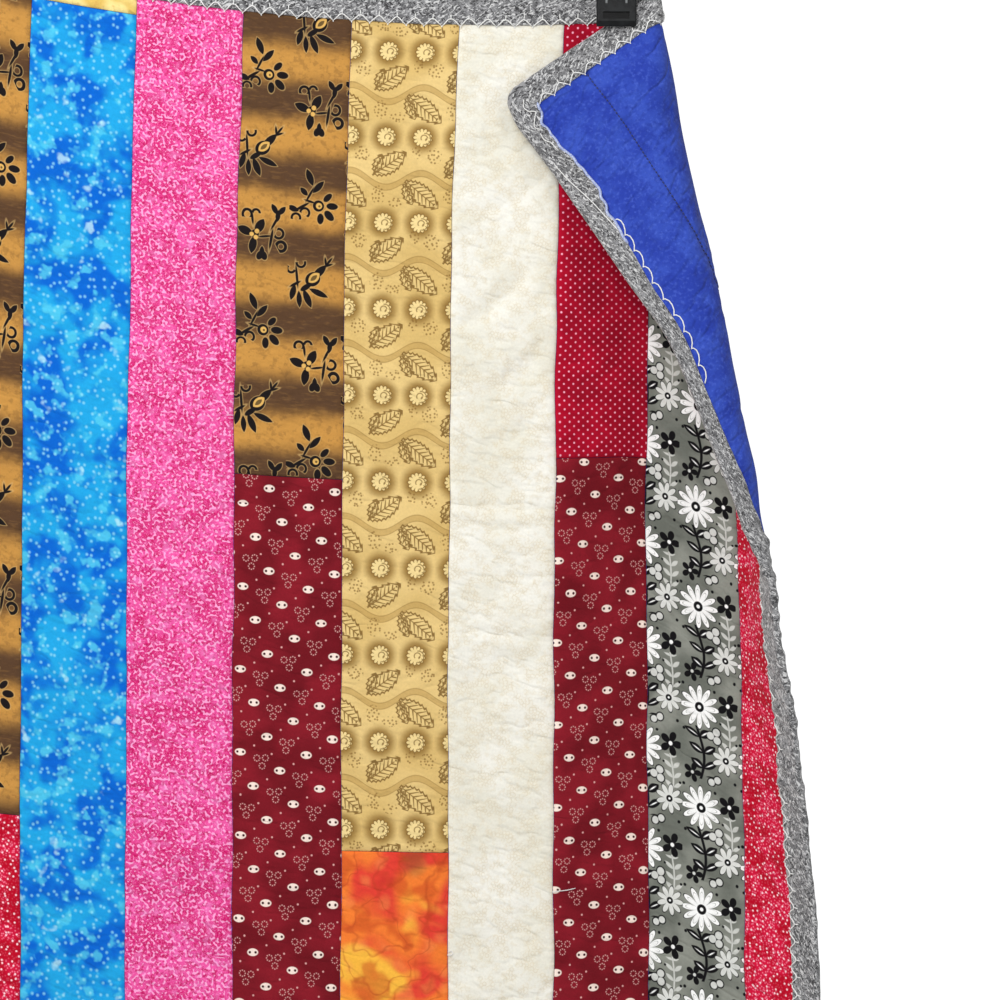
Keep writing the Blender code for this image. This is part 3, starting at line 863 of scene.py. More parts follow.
def print_red_specks(p):
    """Bright red with dense pale specks in drifts."""
    drift = cloud(p, 22, 1.0, 1, 0.40, 0.60)
    fine = ink((cells(p, 3.0, 1.0, seed=2) - 0.25) * 3.0, 0.8)
    dots = ink((cells(p, 6.4, 0.9, seed=3) - 0.15) * 6.4, 0.7)
    return coated(
        mix(drift, dye(188, 0, 36), dye(212, 16, 60)),
        (fine * (drift * 0.6 + 0.15), (250, 134, 164)),
        (dots, (255, 214, 222)),
    )


def print_orange(p):
    """Dyed orange, red and yellow in cloudy rounds with darker rims."""
    bend = join(noise(p, 18, 1.0, seed=7), noise(p, 18, 1.0, seed=8))
    bent = spot_calc("ADD", p, scaled(bend, 24.0))
    x, y = split(local(p, 419.0, 920.0))
    lean = calc("SINE", (x - y * 0.7) / 80.0) * 0.55
    broad = noise(p, 50, 1.0, seed=1, bend=0.4) - lean * 0.28
    other = noise(p, 44, 1.0, seed=2, bend=0.4) - lean * 0.38
    rounds = cells(bent, 30, 1.0, seed=1)
    return coated(
        mix(ramp(broad, 0.34, 0.54), dye(224, 64, 50), dye(244, 126, 50)),
        (ramp(broad, 0.30, 0.20) * 0.7, (184, 22, 36)),
        (ramp(other, 0.50, 0.68), (250, 186, 66)),
        (ramp(rounds, 0.34, 0.05) * 0.30, (252, 160, 84)),
        (ramp(rounds, 0.48, 0.72) * 0.55, (196, 66, 30)),
        (ramp(abs(noise(bent, 30, 1.0, seed=5) - 0.5), 0.040, 0.0) * 0.40, (176, 58, 28)),
        (cloud(p, 52, 0.0, 6, 0.68, 0.78) * 0.7, (132, 88, 44)),
    )


def print_blue(p):
    """Dyed blue from deep to cyan with fine pale spots."""
    broad = ramp(noise(p, 34, 2.0, seed=1, bend=0.4), 0.38, 0.62)
    spots = ink((cells(p, 9, 0.9, seed=2) - 0.13) * 9.0, 2.0)
    return coated(
        mix(broad, dye(0, 100, 206), dye(30, 164, 226)),
        (cloud(p, 16, 2.0, 4, 0.54, 0.66) * 0.7, (86, 204, 234)),
        (spots * 0.7, (150, 226, 246)),
        (cloud(p, 20, 2.0, 3, 0.64, 0.74) * 0.6, (196, 240, 246)),
    )


def print_yellow(p):
    """Pale yellow with a straw mottle."""
    base = dyed(p, 20, 1.0, 1, (222, 186, 96), (244, 222, 146))
    return coated(base, (cloud(p, 5, 1.0, 2, 0.55, 0.7) * 0.4, (206, 160, 84)))


def print_backing(p):
    """Royal blue with the mottle of overdyed cotton."""
    return coated(
        dyed(p, 26, 2.0, 1, (40, 62, 164), (54, 80, 182)),
        (cloud(p, 3.2, 2.0, 2, 0.50, 0.72) * 0.40, (80, 106, 206)),
        (cloud(p, 4.5, 2.0, 3, 0.48, 0.34) * 0.35, (32, 50, 146)),
    )


def print_heather(p):
    """Grey flannel spun from light and dark fibres."""
    one_way = noise(local(p, 0, 0, 28, 2.4, 1.0), 1.9, 1.0, 0.6, seed=1, bend=1.0)
    other_way = noise(local(p, 0, 0, -40, 2.2, 1.0), 1.8, 1.0, 0.6, seed=2, bend=1.0)
    return coated(
        dyed(p, 7, 1.0, 3, (104, 104, 106), (146, 146, 148)),
        (ramp(other_way, 0.50, 0.61), (50, 49, 51)),
        (ramp(one_way, 0.53, 0.64) * 0.9, (216, 216, 216)),
    )


# ---------------------------------------------------------------- materials


def start_material(name, **inputs):
    """A new material, its node tree and its shader, with some of the shader's inputs set."""
    material = bpy.data.materials.new(name)
    material.use_nodes = True
    shader = material.node_tree.nodes["Principled BSDF"]
    settle(shader, **inputs)
    return material, material.node_tree, shader


def bumped(shader, height, strength, distance):
    node = height.tree.nodes.new("ShaderNodeBump")
    settle(node, Strength=strength, Distance=distance, Height=height)
    height.tree.links.new(node.outputs[0], shader.inputs["Normal"])


def cotton(name, colour, sheen=0.05, crumpled=1.0):
    """Printed quilting cotton: print, uneven dye, plain weave and small soft creases."""
    material, tree, shader = start_material(
        name, Sheen_Weight=sheen, Sheen_Roughness=0.5, Specular_IOR_Level=0.12
    )
    p = flat_spot(tree)
    wear = noise(p, 2.4, 2.0, 0.6, seed=9) * 0.22 + 0.89
    rough = noise(p, 14, 1.0, seed=8) * 0.16 + 0.76
    settle(shader, Base_Color=scaled(colour(p), wear), Roughness=rough)
    x, y = split(p)
    weave = calc("SINE", x * (pi / WEAVE)) * calc("SINE", y * (pi / WEAVE))
    soft = noise(p, 11, 2.0, 0.55, seed=7) * crumpled
    fold = abs(noise(local(p, 0, 0, 18, 2.2, 1.0), 24, 2.0, 0.6, seed=6) - 0.5)
    height = weave * 0.05 + soft + ramp(fold, 0.0, 0.10) * 0.9 * crumpled
    bumped(shader, height, 0.55, 0.0011)
    return material


def flannel(name, colour):
    """Brushed flannel: fibres lie both ways and stand a little out of the cloth."""
    material, tree, shader = start_material(
        name, Sheen_Weight=0.35, Sheen_Roughness=0.6, Specular_IOR_Level=0.15
    )
    p = flat_spot(tree)
    settle(shader, Base_Color=colour(p), Roughness=noise(p, 6, 1.0, seed=8) * 0.1 + 0.88)
    nap = noise(local(p, 0, 0, 20, 1.8, 1.0), 1.4, 2.0, 0.65, seed=5)
    bumped(shader, nap + noise(p, 5, 1.0, seed=6) * 1.2, 0.85, 0.0011)
    return material


def thread_material(name, tint, shade):
    """Machine thread: shiny, with its twist along the strand."""
    material, tree, shader = start_material(name, Sheen_Weight=0.2)
    p = flat_spot(tree)
    rough = noise(p, 3, 1.0, seed=2) * 0.2 + 0.35
    settle(shader, Base_Color=dyed(p, 1.2, 1.0, 1, shade, tint), Roughness=rough)
    bumped(shader, noise(p, 0.8, 0.0, seed=3), 0.4, 0.0002)
    return material


def solid_spot(tree):
    """The place on a hard piece, in millimetres, and the node that gives it."""
    node = tree.nodes.new("ShaderNodeTexCoord")
    return scaled(Wire(tree, node.outputs["Object"]), 1 / MM), node


def plastic_material():
    """Moulded charcoal plastic, finely grained, with painted shade near black in its recess and a
    painted highlight of light grey along its ribs.
    """
    material, tree, shader = start_material("clip_plastic_moulded", Specular_IOR_Level=0.14)
    p, node = solid_spot(tree)
    sides = tree.nodes.new("ShaderNodeSeparateXYZ")
    tree.links.new(node.outputs["Generated"], sides.inputs[0])
    across = abs(Wire(tree, sides.outputs[0]) - 0.5)
    up = Wire(tree, sides.outputs[2])
    # Mask of the recess, where painted shade darkens the plastic nearly to black.
    recess_painted_shade = both((across - 0.33) * CLIP_WIDE_MM, (abs(up - 0.147) - 0.049) * CLIP_HIGH_MM)
    # Mask of the ribs, where a painted highlight lightens the plastic.
    ribs = both((abs(across - 0.25) - 0.026) * CLIP_WIDE_MM, (0.31 - up) * CLIP_HIGH_MM)
    rub = cloud(p, 9, 2.0, 1, 0.40, 0.65)
    body = coated(
        mix(rub, dye(24, 25, 26), dye(34, 36, 37)),
        # Painted highlight: light grey along the ribs.
        (ink(ribs, 0.4) * 0.8, (128, 131, 132)),
        # Painted shade: near black in the recess.
        (ink(recess_painted_shade, 0.4), (4, 4, 5)),
    )
    settle(shader, Base_Color=body, Roughness=rub * 0.14 + 0.28)
    grain = noise(p, 0.35, 1.0, seed=2) + noise(p, 6, 1.0, seed=3) * 0.5
    bumped(shader, grain, 0.25, 0.0002)
    return material


def steel_material():
    """Spring wire, drawn, with a slightly uneven shine."""
    material, tree, shader = start_material("clip_spring_steel", Metallic=1.0)
    p, _ = solid_spot(tree)
    streaks = noise(local(p, 0, 0, 0, 8, 1), 0.5, 2.0, seed=1)
    shine = mix(streaks, (0.38, 0.38, 0.39), (0.60, 0.60, 0.61))
    settle(shader, Base_Color=shine, Roughness=streaks * 0.2 + 0.22)
    bumped(shader, streaks, 0.2, 0.0001)
    return material


# ---------------------------------------------------------------- meshes


def in_scene(made):
    bpy.context.scene.collection.objects.link(made)
    return made


def add_piece(name, points, faces, material, flat, bake=None):
    """A smooth mesh piece. flat gives each vertex's place on the flat cloth for the prints."""
    mesh = bpy.data.meshes.new(name)
    mesh.from_pydata(np.asarray(points).tolist(), [], np.asarray(faces).tolist())
    corners = np.empty(len(mesh.loops), int)
    mesh.loops.foreach_get("vertex_index", corners)
    if bake is not None:
        layer = mesh.uv_layers.new(name="OFBake")
        layer.data.foreach_set("uv", np.asarray(bake, float).ravel())
    layer = mesh.uv_layers.new(name="flat")
    layer.data.foreach_set("uv", np.asarray(flat, float)[corners].ravel())
    mesh.materials.append(material)
    mesh.shade_smooth()
    made = in_scene(bpy.data.objects.new(name, mesh))
    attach(made, "root")
    return made


def flat_places(u, v):
    """Places on the flat cloth, one row for each point of two arrays."""
    return np.stack(np.broadcast_arrays(u, v), axis=-1).reshape(-1, 2)


def grid_faces(rows, columns, front=True):
    """Quads of a grid of points [row, column], facing the front or the back."""
    a = np.arange((rows - 1) * columns).reshape(rows - 1, columns)[:, :-1].ravel()
    b, c, d = a + 1, a + columns + 1, a + columns
    return np.stack([a, d, c, b] if front else [a, b, c, d], axis=1)


def edge_lines(low, high, step, near):
    """Grid lines from low to high, close together at both ends."""
    inner = np.arange(1, max(2, int(round((high - low - 2 * near[-1]) / step))))
    inner = low + near[-1] + inner * (high - low - 2 * near[-1]) / (len(inner) + 1)
    return np.concatenate([low + near, inner, (high - near)[::-1]])


SEAM_NEAR = np.array([0.00015, 0.0006, 0.0012, 0.0020, 0.0031, 0.0046])
SEAM_DROP = 0.0014
SEAM_WIDE = 0.0013
SEAM_PUFF = 0.00022
SEAM_PUFF_AT = 0.006
SEAM_PUFF_WIDE = 0.004
SEAM_WANDER = 0.00045
SEAM_WAVES = (0.31, 0.17, 0.09)
PATCH_STEP = 0.0042
PATCH_FINE = 0.0030
FINE_TO = 0.75
UNDER_BINDING = 0.006
BAKE_FOLDS = 5
BAKE_MARGIN_ACROSS = 0.03
BAKE_MARGIN_DOWN = 0.01


def seam_sink(away):
    """How far the top face drops at a distance from a seam, with a slight swell beside it."""
    puff = SEAM_PUFF * np.exp(-(((away - SEAM_PUFF_AT) / SEAM_PUFF_WIDE) ** 2))
    return -SEAM_DROP * np.exp(-away / SEAM_WIDE) + puff


def seam_wave(k, v):
    """Sideways wander of seam k, which nobody sews quite straight."""
    rng = np.random.default_rng(100 + k)
    total = 0
    for pitch in SEAM_WAVES:
        wave = np.sin(v * 2 * pi / pitch + rng.uniform(0, 2 * pi))
        total = total + wave * rng.uniform(0.3, 1.0)
    return total * SEAM_WANDER


def strip_bake(us, vs, folds):
    """A layout for texture baking: the strip cut across into equal lengths laid side by side."""
    rows, columns = len(vs), len(us)
    fold = np.minimum((np.arange(rows - 1) * folds) // (rows - 1), folds - 1)
    first = np.array([np.argmax(fold == k) for k in range(folds)])
    last = np.array([rows - 1 - np.argmax(fold[::-1] == k) for k in range(folds)])
    across = (us - us[0]) / (us[-1] - us[0]) * (1 - 2 * BAKE_MARGIN_ACROSS) + BAKE_MARGIN_ACROSS
    found = np.empty((rows - 1, columns - 1, 4, 2))
    for row in range(rows - 1):
        k = fold[row]
        start, end = vs[first[k]], vs[last[k]]
        high, low = ((vs[row + s] - start) / (end - start) for s in (0, 1))
        for corner, (side, share) in enumerate(((0, high), (0, low), (1, low), (1, high))):
            part = across[1:] if side else across[:-1]
            found[row, :, corner, 0] = (k + part) / folds
            found[row, :, corner, 1] = share * (1 - 2 * BAKE_MARGIN_DOWN) + BAKE_MARGIN_DOWN
    return found.reshape(-1, 2)


def add_patch(cloth, name, strip, v_low, v_high, material):
    """One patch of the top: a thin sheet between two seams, sunk along its own seams."""
    seams = seam_places()
    last = len(STRIPS) - 1
    left = -HALF + UNDER_BINDING if strip == 0 else seams[strip - 1]
    right = HALF - UNDER_BINDING if strip == last else seams[strip]
    us = edge_lines(left, right, PATCH_STEP, SEAM_NEAR)
    if v_low < FINE_TO < v_high:
        upper = edge_lines(v_low, FINE_TO, PATCH_FINE, SEAM_NEAR)
        vs = np.concatenate([upper, edge_lines(FINE_TO, v_high, PATCH_STEP, SEAM_NEAR)])
    else:
        vs = edge_lines(v_low, v_high, PATCH_FINE if v_low < FINE_TO else PATCH_STEP, SEAM_NEAR)
    uu, vv = np.meshgrid(us, vs)
    share = (uu - left) / (right - left)
    wander, side = 0, np.full(uu.shape, 1.0)
    if strip > 0:
        wander = wander + seam_wave(strip - 1, vv) * (1 - share)
        side = np.minimum(side, uu - left)
    if strip < last:
        wander = wander + seam_wave(strip, vv) * share
        side = np.minimum(side, right - uu)
    if v_low > UNDER_BINDING:
        side = np.minimum(side, vv - v_low)
    if v_high < LENGTH - UNDER_BINDING:
        side = np.minimum(side, v_high - vv)
    points = cloth.at(uu + wander, vv, TOP_FACE + seam_sink(side)).reshape(-1, 3)
    faces = grid_faces(len(vs), len(us))
    folds = max(1, min(BAKE_FOLDS, int(round(((v_high - v_low) / (right - left)) ** 0.5))))
    bake = strip_bake(us, vs, folds)
    made = add_piece(name, points, faces, material, flat_places(uu, vv), bake)
    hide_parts("patchwork_top")
    right - left


BACK_FINE = 0.0026
BACK_FINE_ROW = 0.0030
BACK_COARSE = 0.011
BACK_FINE_WIDE = 0.21
BACK_FINE_TO = 0.66
BESIDE_DITCH = (-0.0045, -0.0022, -0.0009, 0, 0.0009, 0.0022, 0.0045)
LEAST_GAP = 0.0006
DITCH_DEPTH = 0.0010
DITCH_WIDE = 0.0015
VALLEY_DEPTH = 0.0006
VALLEY_WIDE = 0.0075


def add_backing(cloth, material):
    """The backing, one panel, drawn in along every quilting line."""
    edge, end = HALF - UNDER_BINDING, LENGTH - UNDER_BINDING
    seams = seam_places()
    fine = np.arange(HALF - BACK_FINE_WIDE, edge, BACK_FINE)
    coarse = np.arange(-edge, HALF - BACK_FINE_WIDE, BACK_COARSE)
    beside = np.concatenate([seams + d for d in BESIDE_DITCH])
    us = np.unique(np.round(np.concatenate([coarse, fine, beside, [edge]]), 5))
    us = us[np.concatenate([[True], np.diff(us) > LEAST_GAP])]
    upper = np.arange(UNDER_BINDING, BACK_FINE_TO, BACK_FINE_ROW)
    vs = np.concatenate([upper, np.arange(BACK_FINE_TO, end, BACK_COARSE), [end]])
    uu, vv = np.meshgrid(us, vs)
    away = np.abs(uu[..., None] - seams).min(axis=-1)
    w = BACK_FACE + DITCH_DEPTH * np.exp(-((away / DITCH_WIDE) ** 2))
    w = w + VALLEY_DEPTH * np.exp(-((away / VALLEY_WIDE) ** 2))
    points = cloth.at(uu, vv, w).reshape(-1, 3)
    faces = grid_faces(len(vs), len(us), front=False)
    made = add_piece("backing_panel", points, faces, material, flat_places(uu, vv))
    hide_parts("backing")
    WIDTH - 2 * UNDER_BINDING


# ---------------------------------------------------------------- binding

CORNER_ROUND = 0.010
CORNER_STATIONS = 9
RIM_FINE = 0.0022
RIM_COARSE = 0.007
RIM_FINE_TO = 0.95
# The binding's section in millimetres: inward distance and height over the middle face.
SECTION = (
    (21.0, 2.05), (21.2, 2.5), (21.0, 3.05), (20.3, 3.35), (18.5, 3.35), (15.0, 3.3), (11.0, 3.25),
    (7.0, 3.2), (3.6, 3.0), (1.6, 2.55), (0.5, 1.75), (0.0, 0.4), (0.5, -1.0), (1.6, -1.85),
    (3.6, -2.3), (7.0, -2.5), (11.0, -2.55), (15.0, -2.6), (18.5, -2.65), (20.3, -2.65),
    (21.0, -2.35), (21.2, -1.85), (21.0, -1.4),
)
FRONT_OVER = 0.0004
LUMP_WAVES = 7
RIGHT_RIM = 0.03
RIGHT_RIM_SOFT = 0.008
# Two soft unevennesses of the rim: seed, pitch and height.
RIM_SWELLS = ((3, 0.016, 0.00022), (4, 0.05, 0.00025))
# The knobbly stretch down the folded side: seed, pitch, height, and where it comes and goes.
KNOB_SEED, KNOB_PITCH, KNOB_HEIGHT = 5, 0.020, 0.0011
KNOBS_FROM, KNOBS_OVER = 0.33, 0.04
KNOBS_TO, KNOBS_FADE = 0.62, 0.08
# How far the back of the binding falls short of its even width down the folded side, in
# millimetres: place down the side and inset.
BACK_INSET = (
    (0, 0), (22, 0), (34, 5), (52, 5), (76, 1), (96, 0), (120, 4), (150, 6), (182, 9),
    (260, 10.5), (340, 9), (430, 0), (1520, 0),
)
LIP_FROM = 0.026
LIP_TO = 0.122
LIP_SOFT = 0.012
LIP_FADE = 0.016
LIP_LIFT = 0.0018
LIP_SHIFT = 0.0012
LIP_INNER_FROM = 0.014
LIP_INNER_OVER = 0.007


def back_inset(u, v):
    places, depths = np.array(BACK_INSET).T * MM
    return np.interp(v, places, depths) * np.where(u > HALF - RIGHT_RIM, 1.0, 0.0)


def lip_curl(s):
    """Height and shift shares of the loose lip along the folded side, from the corner down."""
    share = smooth((s - LIP_FROM) / LIP_SOFT) * smooth((LIP_TO + LIP_SOFT - s) / LIP_FADE)
    return share * (0.65 + 0.35 * lumps(s, 0, 6, 0.030))


def side_run(start, end, fine_low, fine_high):
    """Places from start to end along a side, closer together between two of them."""
    marks = [start]
    way = 1 if end > start else -1
    while (end - marks[-1]) * way > 1e-9:
        here = marks[-1]
        step = RIM_FINE if fine_low <= here <= fine_high else RIM_COARSE
        marks.append(here + way * step if (end - here) * way > 1.5 * step else end)
    return marks


def corner_run(su, sv):
    """Stations round a corner: outer points on a small arc and the shared inner corner."""
    inner = (su * (HALF - BINDING), BINDING if sv < 0 else LENGTH - BINDING)
    middle = (su * (HALF - CORNER_ROUND), CORNER_ROUND if sv < 0 else LENGTH - CORNER_ROUND)
    found = []
    for k in range(CORNER_STATIONS):
        turn = pi / 2 * k / (CORNER_STATIONS - 1)
        along, down = su * CORNER_ROUND * sin(turn), sv * CORNER_ROUND * cos(turn)
        found.append(((middle[0] + along, middle[1] + down), inner))
    return found


def rim_stations():
    """Stations clockwise round the quilt as its face is seen: (outer point, inner point)."""
    in_u, in_v = HALF - BINDING, LENGTH - BINDING
    nowhere = (LENGTH + 1, LENGTH + 2)
    found = [((u, 0.0), (u, BINDING)) for u in side_run(-in_u, in_u, 0.0, in_u)]
    found += corner_run(1, -1)
    found += [((HALF, v), (in_u, v)) for v in side_run(BINDING, in_v, 0.0, RIM_FINE_TO)]
    found += corner_run(1, 1)[::-1]
    found += [((u, LENGTH), (u, in_v)) for u in side_run(in_u, -in_u, *nowhere)]
    found += corner_run(-1, 1)
    found += [((-HALF, v), (-in_u, v)) for v in side_run(in_v, BINDING, *nowhere)]
    return found + corner_run(-1, -1)[::-1]


def lumps(s, a, seed, pitch):
    """Soft seeded unevenness along the rim."""
    rng = np.random.default_rng(seed)
    total = 0
    for _ in range(LUMP_WAVES):
        ks, ka = rng.uniform(0.5, 1.6) * 2 * pi / pitch, rng.uniform(-1, 1) * 2 * pi / pitch
        total = total + np.sin(s * ks + a * ka + rng.uniform(0, 2 * pi))
    return total / LUMP_WAVES**0.5


def add_binding(cloth, material):
    """The binding, one folded strip all round. Gives the piece, its length and its flat width."""
    outer, inner = (np.array(points) for points in zip(*rim_stations()))
    section = np.array(SECTION) * MM
    middle = (outer + inner) / 2
    steps = np.linalg.norm(np.roll(middle, -1, axis=0) - middle, axis=1)
    run = np.concatenate([[0], np.cumsum(steps)])
    s, a, w = run[:-1, None], section[None, :, 0], section[None, :, 1]
    front = w > FRONT_OVER
    out = np.where(front, 1, -1)
    inset = back_inset(outer[:, :1], outer[:, 1:]) * np.where(front, 0, 1)
    share = ((a / BINDING) * (1 - inset / BINDING))[..., None]
    u, v = np.moveaxis(outer[:, None, :] * (1 - share) + inner[:, None, :] * share, -1, 0)
    swell = sum(lumps(s, a, seed, pitch) * high for seed, pitch, high in RIM_SWELLS)
    on_right = smooth((u - (HALF - RIGHT_RIM)) / RIGHT_RIM_SOFT)
    knobbly = smooth((v - KNOBS_FROM) / KNOBS_OVER) * smooth((KNOBS_TO - v) / KNOBS_FADE)
    knobs = np.clip(lumps(s, a, KNOB_SEED, KNOB_PITCH) + 0.3, 0, 1.6) * KNOB_HEIGHT
    curl = lip_curl(v) * on_right * smooth((a - LIP_INNER_FROM) / LIP_INNER_OVER)
    curl = curl * np.where(w < 0, 1, 0)
    height = w + (swell + on_right * knobbly * knobs) * out - curl * LIP_LIFT
    points = cloth.at(u + curl * LIP_SHIFT, v, height)
    count, around = points.shape[:2]
    points = np.concatenate([points, points[:1]]).reshape(-1, 3)
    across = np.concatenate([[0], np.cumsum(np.hypot(*np.diff(section, axis=0).T))])
    faces = grid_faces(count + 1, around, front=False)
    flat = flat_places(run[:, None], across[None, :])
    made = add_piece("binding_strip", points, faces, material, flat)
    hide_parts("binding")
    return made, float(run[-1]), float(across[-1])


# ---------------------------------------------------------------- stitches

THREAD = 0.00046
THREAD_SIDES = 5
THREAD_TIP = 0.35
QUILT_THREAD = 0.00054
QUILT_STITCH = 0.0021
QUILT_PITCH = 0.0029
QUILT_BOW = 0.0002
QUILT_MARGIN = 0.002
# Heights of the threads' middle on the binding, and where they step down from it.
OVER_BINDING = 0.0035
UNDER_BINDING_BACK = 0.0028
STEP_AT = 0.0217
STEP_SOFT = 0.0009
LIP_EDGE = 0.00105
LIP_EDGE_FROM = 0.020
LIP_EDGE_STEP = 0.0016
LIP_EDGE_PAST = 0.022
LIP_EDGE_HEIGHT = -0.0022
# The honeycomb stitch: its pitch, and how far inward its arms start, its arms meet and its
# spurs reach.
STITCH_PITCH = 0.0129
ARMS_FROM = 0.0222
ARMS_TO = 0.0170
SPURS_TO = 0.0135
PEAK_WANDER = 0.04
PEAK_LIFT = 0.0003
SPUR_SWAY = 0.0005
STITCH_SEEDS = {True: 11, False: 12}
SCALLOPS_TO = 0.250
BARE_TO = 0.390
# A scallop: share of the pitch and distance inward.
SCALLOP = (
    (0, 0.0220), (0.06, 0.0237), (0.24, 0.0251), (0.50, 0.0253), (0.78, 0.0243), (1, 0.0225),
    (1.05, 0.0219),
)
# Threads along the folded side, in millimetres: place down the side and distance inward.
LIP_THREADS = (
    ((12, 13), (17, 10), (22, 12), (25, 17), (29, 13), (34, 9), (38, 12)),
    ((40, 10), (46, 9), (50, 12), (57, 13)),
    ((64, 5), (83, 7), (102, 11), (118, 13.5), (132, 15.5)),
)
# Loose thread ends on the patchwork, in millimetres across and down the flat cloth.
LOOSE_THREADS = (
    ((421, 658), (426, 657.4), (432, 656.8), (438, 655.6)),
    ((347, 701), (349.5, 700), (351, 702), (349, 703.5), (346.5, 703)),
    ((602, 330), (606, 331), (609, 329)),
)


def unit(vectors):
    return vectors / (np.linalg.norm(vectors, axis=1, keepdims=True) + 1e-12)


def tubes(name, paths, radius, material):
    """Round threads along paths of points, all as one piece."""
    all_points, all_faces, all_flat, base = [], [], [], 0
    angles = np.arange(THREAD_SIDES) * 2 * pi / THREAD_SIDES
    for number, path in enumerate(paths):
        ahead = unit(np.gradient(path, axis=0))
        aside = unit(np.cross(ahead, (0.3, 0.9, 0.31)))
        above = np.cross(ahead, aside)
        thin = np.full(len(path), radius)
        thin[[0, -1]] *= THREAD_TIP
        way = aside[:, None] * np.cos(angles)[:, None] + above[:, None] * np.sin(angles)[:, None]
        all_points.append((path[:, None] + thin[:, None, None] * way).reshape(-1, 3))
        run = np.concatenate([[0], np.cumsum(np.linalg.norm(np.diff(path, axis=0), axis=1))])
        all_flat.append(flat_places((run + number * 0.013)[:, None], angles[None, :] * radius))
        for k in range(len(path) - 1):
            here = base + k * THREAD_SIDES
            for j in range(THREAD_SIDES):
                a, b = here + j, here + (j + 1) % THREAD_SIDES
                all_faces.append((a, b, b + THREAD_SIDES, a + THREAD_SIDES))
        base += len(path) * THREAD_SIDES
    points, flat = np.concatenate(all_points), np.concatenate(all_flat)
    made = add_piece(name, points, all_faces, material, flat)
    return made


def through(knots, steps):
    """Two coordinates at even steps along a line of knots."""
    t = np.linspace(0, len(knots) - 1, steps)
    return (np.interp(t, np.arange(len(knots)), part) for part in zip(*knots))


def edge_spot(side, s, a):
    """Flat place of a point s along a side and a inward from the edge."""
    if side == "top":
        return -HALF + BINDING + s, a
    if side == "right":
        return HALF - a, BINDING + s
    if side == "bottom":
        return HALF - BINDING - s, LENGTH - a
    return -HALF + a, LENGTH - BINDING - s


def stitch_height(a, front):
    """Height of a thread over the binding, its inner edge and the cloth inside it."""
    on_binding = smooth((STEP_AT - a) / STEP_SOFT)
    if front:
        return TOP_FACE + 0.0002 + (OVER_BINDING - TOP_FACE) * on_binding + THREAD * 0.5
    return BACK_FACE - 0.0001 - (UNDER_BINDING_BACK + BACK_FACE) * on_binding - THREAD * 0.5


def thread_path(cloth, side, front, knots, steps):
    """A thread through knots of (place along the side, distance inward)."""
    s, a = through(knots, steps)
    inset = 0.0 if front or side != "right" else back_inset(HALF, BINDING + s)
    u, v = edge_spot(side, s, a - inset)
    return cloth.at(u, v, stitch_height(a, front))


def honeycomb(cloth, side, front):
    """Zigzag over the binding's inner edge, with a spur at every peak, along one side.

    Down the folded side the back thread has come away from the lip, and below it lies in
    scallops on the backing.
    """
    rng = np.random.default_rng(STITCH_SEEDS[front])
    length = (2 * HALF if side in ("top", "bottom") else LENGTH) - 2 * BINDING
    count = int(round(length / STITCH_PITCH))
    pitch = length / count
    paths = []
    for k in range(count):
        start, end = k * pitch, k * pitch + pitch
        peak = start + pitch * (0.5 + rng.uniform(-PEAK_WANDER, PEAK_WANDER))
        lift = rng.uniform(-PEAK_LIFT, PEAK_LIFT)
        sway = rng.uniform(-SPUR_SWAY, SPUR_SWAY)
        down = start + BINDING
        if side == "right" and not front and LIP_FROM - 0.01 < down < BARE_TO:
            if LIP_TO < down < SCALLOPS_TO:
                knots = [(start + pitch * t, a + lift * (t == 1)) for t, a in SCALLOP]
                paths.append(thread_path(cloth, side, front, knots, 13))
            continue
        top = ARMS_TO + lift
        arms = (
            (start, ARMS_FROM), (start + pitch * 0.16, ARMS_FROM - 0.0016),
            (peak - pitch * 0.12, ARMS_TO + 0.0006), (peak, top),
            (peak + pitch * 0.12, ARMS_TO + 0.0006), (start + pitch * 0.84, ARMS_FROM - 0.0016),
            (end, ARMS_FROM),
        )
        spur = ((peak, top), (peak + sway, SPURS_TO))
        foot = ((start, ARMS_FROM - 0.0003), (start - sway, ARMS_FROM + 0.0011))
        for knots, steps in ((arms, 13), (spur, 4), (foot, 4)):
            paths.append(thread_path(cloth, side, front, knots, steps))
    return paths


def lip_threads(cloth):
    """The thread that has come away at the folded corner, lying along the binding."""
    paths = []
    for knots in LIP_THREADS:
        v, a = through(np.array(knots) * MM, 6 * len(knots))
        a = np.convolve(np.pad(a, 2, mode="edge"), np.ones(5) / 5, "valid")
        height = stitch_height(a + back_inset(HALF, v), False) - 0.0005
        paths.append(cloth.at(HALF - a, v, height))
    return paths


def lip_edge(cloth):
    """The lip's turned edge, whitish blue, standing a little off the backing."""
    v = np.arange(LIP_EDGE_FROM, LIP_TO + LIP_EDGE_PAST, LIP_EDGE_STEP)
    curl = lip_curl(v)
    wander = lumps(v, 0, 8, 0.014) * 0.0006
    a = BINDING - back_inset(HALF, v) - curl * LIP_SHIFT + 0.0002 + wander
    return [cloth.at(HALF - a, v, LIP_EDGE_HEIGHT - curl * LIP_LIFT * 0.8 + wander)]


def loose_threads(cloth):
    """Thread ends that show on the patchwork."""
    paths = []
    for knots in LOOSE_THREADS:
        u, v = through(np.array(knots) * MM, 4 * len(knots))
        paths.append(cloth.at(u, v, TOP_FACE + 0.0007))
    return paths


def quilting_stitches(cloth):
    """Short stitches along every quilting line, as they show on the backing."""
    paths = []
    middle = BACK_FACE + DITCH_DEPTH + VALLEY_DEPTH - QUILT_THREAD
    w = middle - np.array([0.0, QUILT_BOW, 0.0])
    for k, seam in enumerate(seam_places()):
        for mark in np.arange(BINDING + QUILT_MARGIN, LENGTH - BINDING - QUILT_MARGIN, QUILT_PITCH):
            v = mark + np.array([0, QUILT_STITCH / 2, QUILT_STITCH])
            paths.append(cloth.at(seam + seam_wave(k, v), v, w))
    return paths


# ---------------------------------------------------------------- building

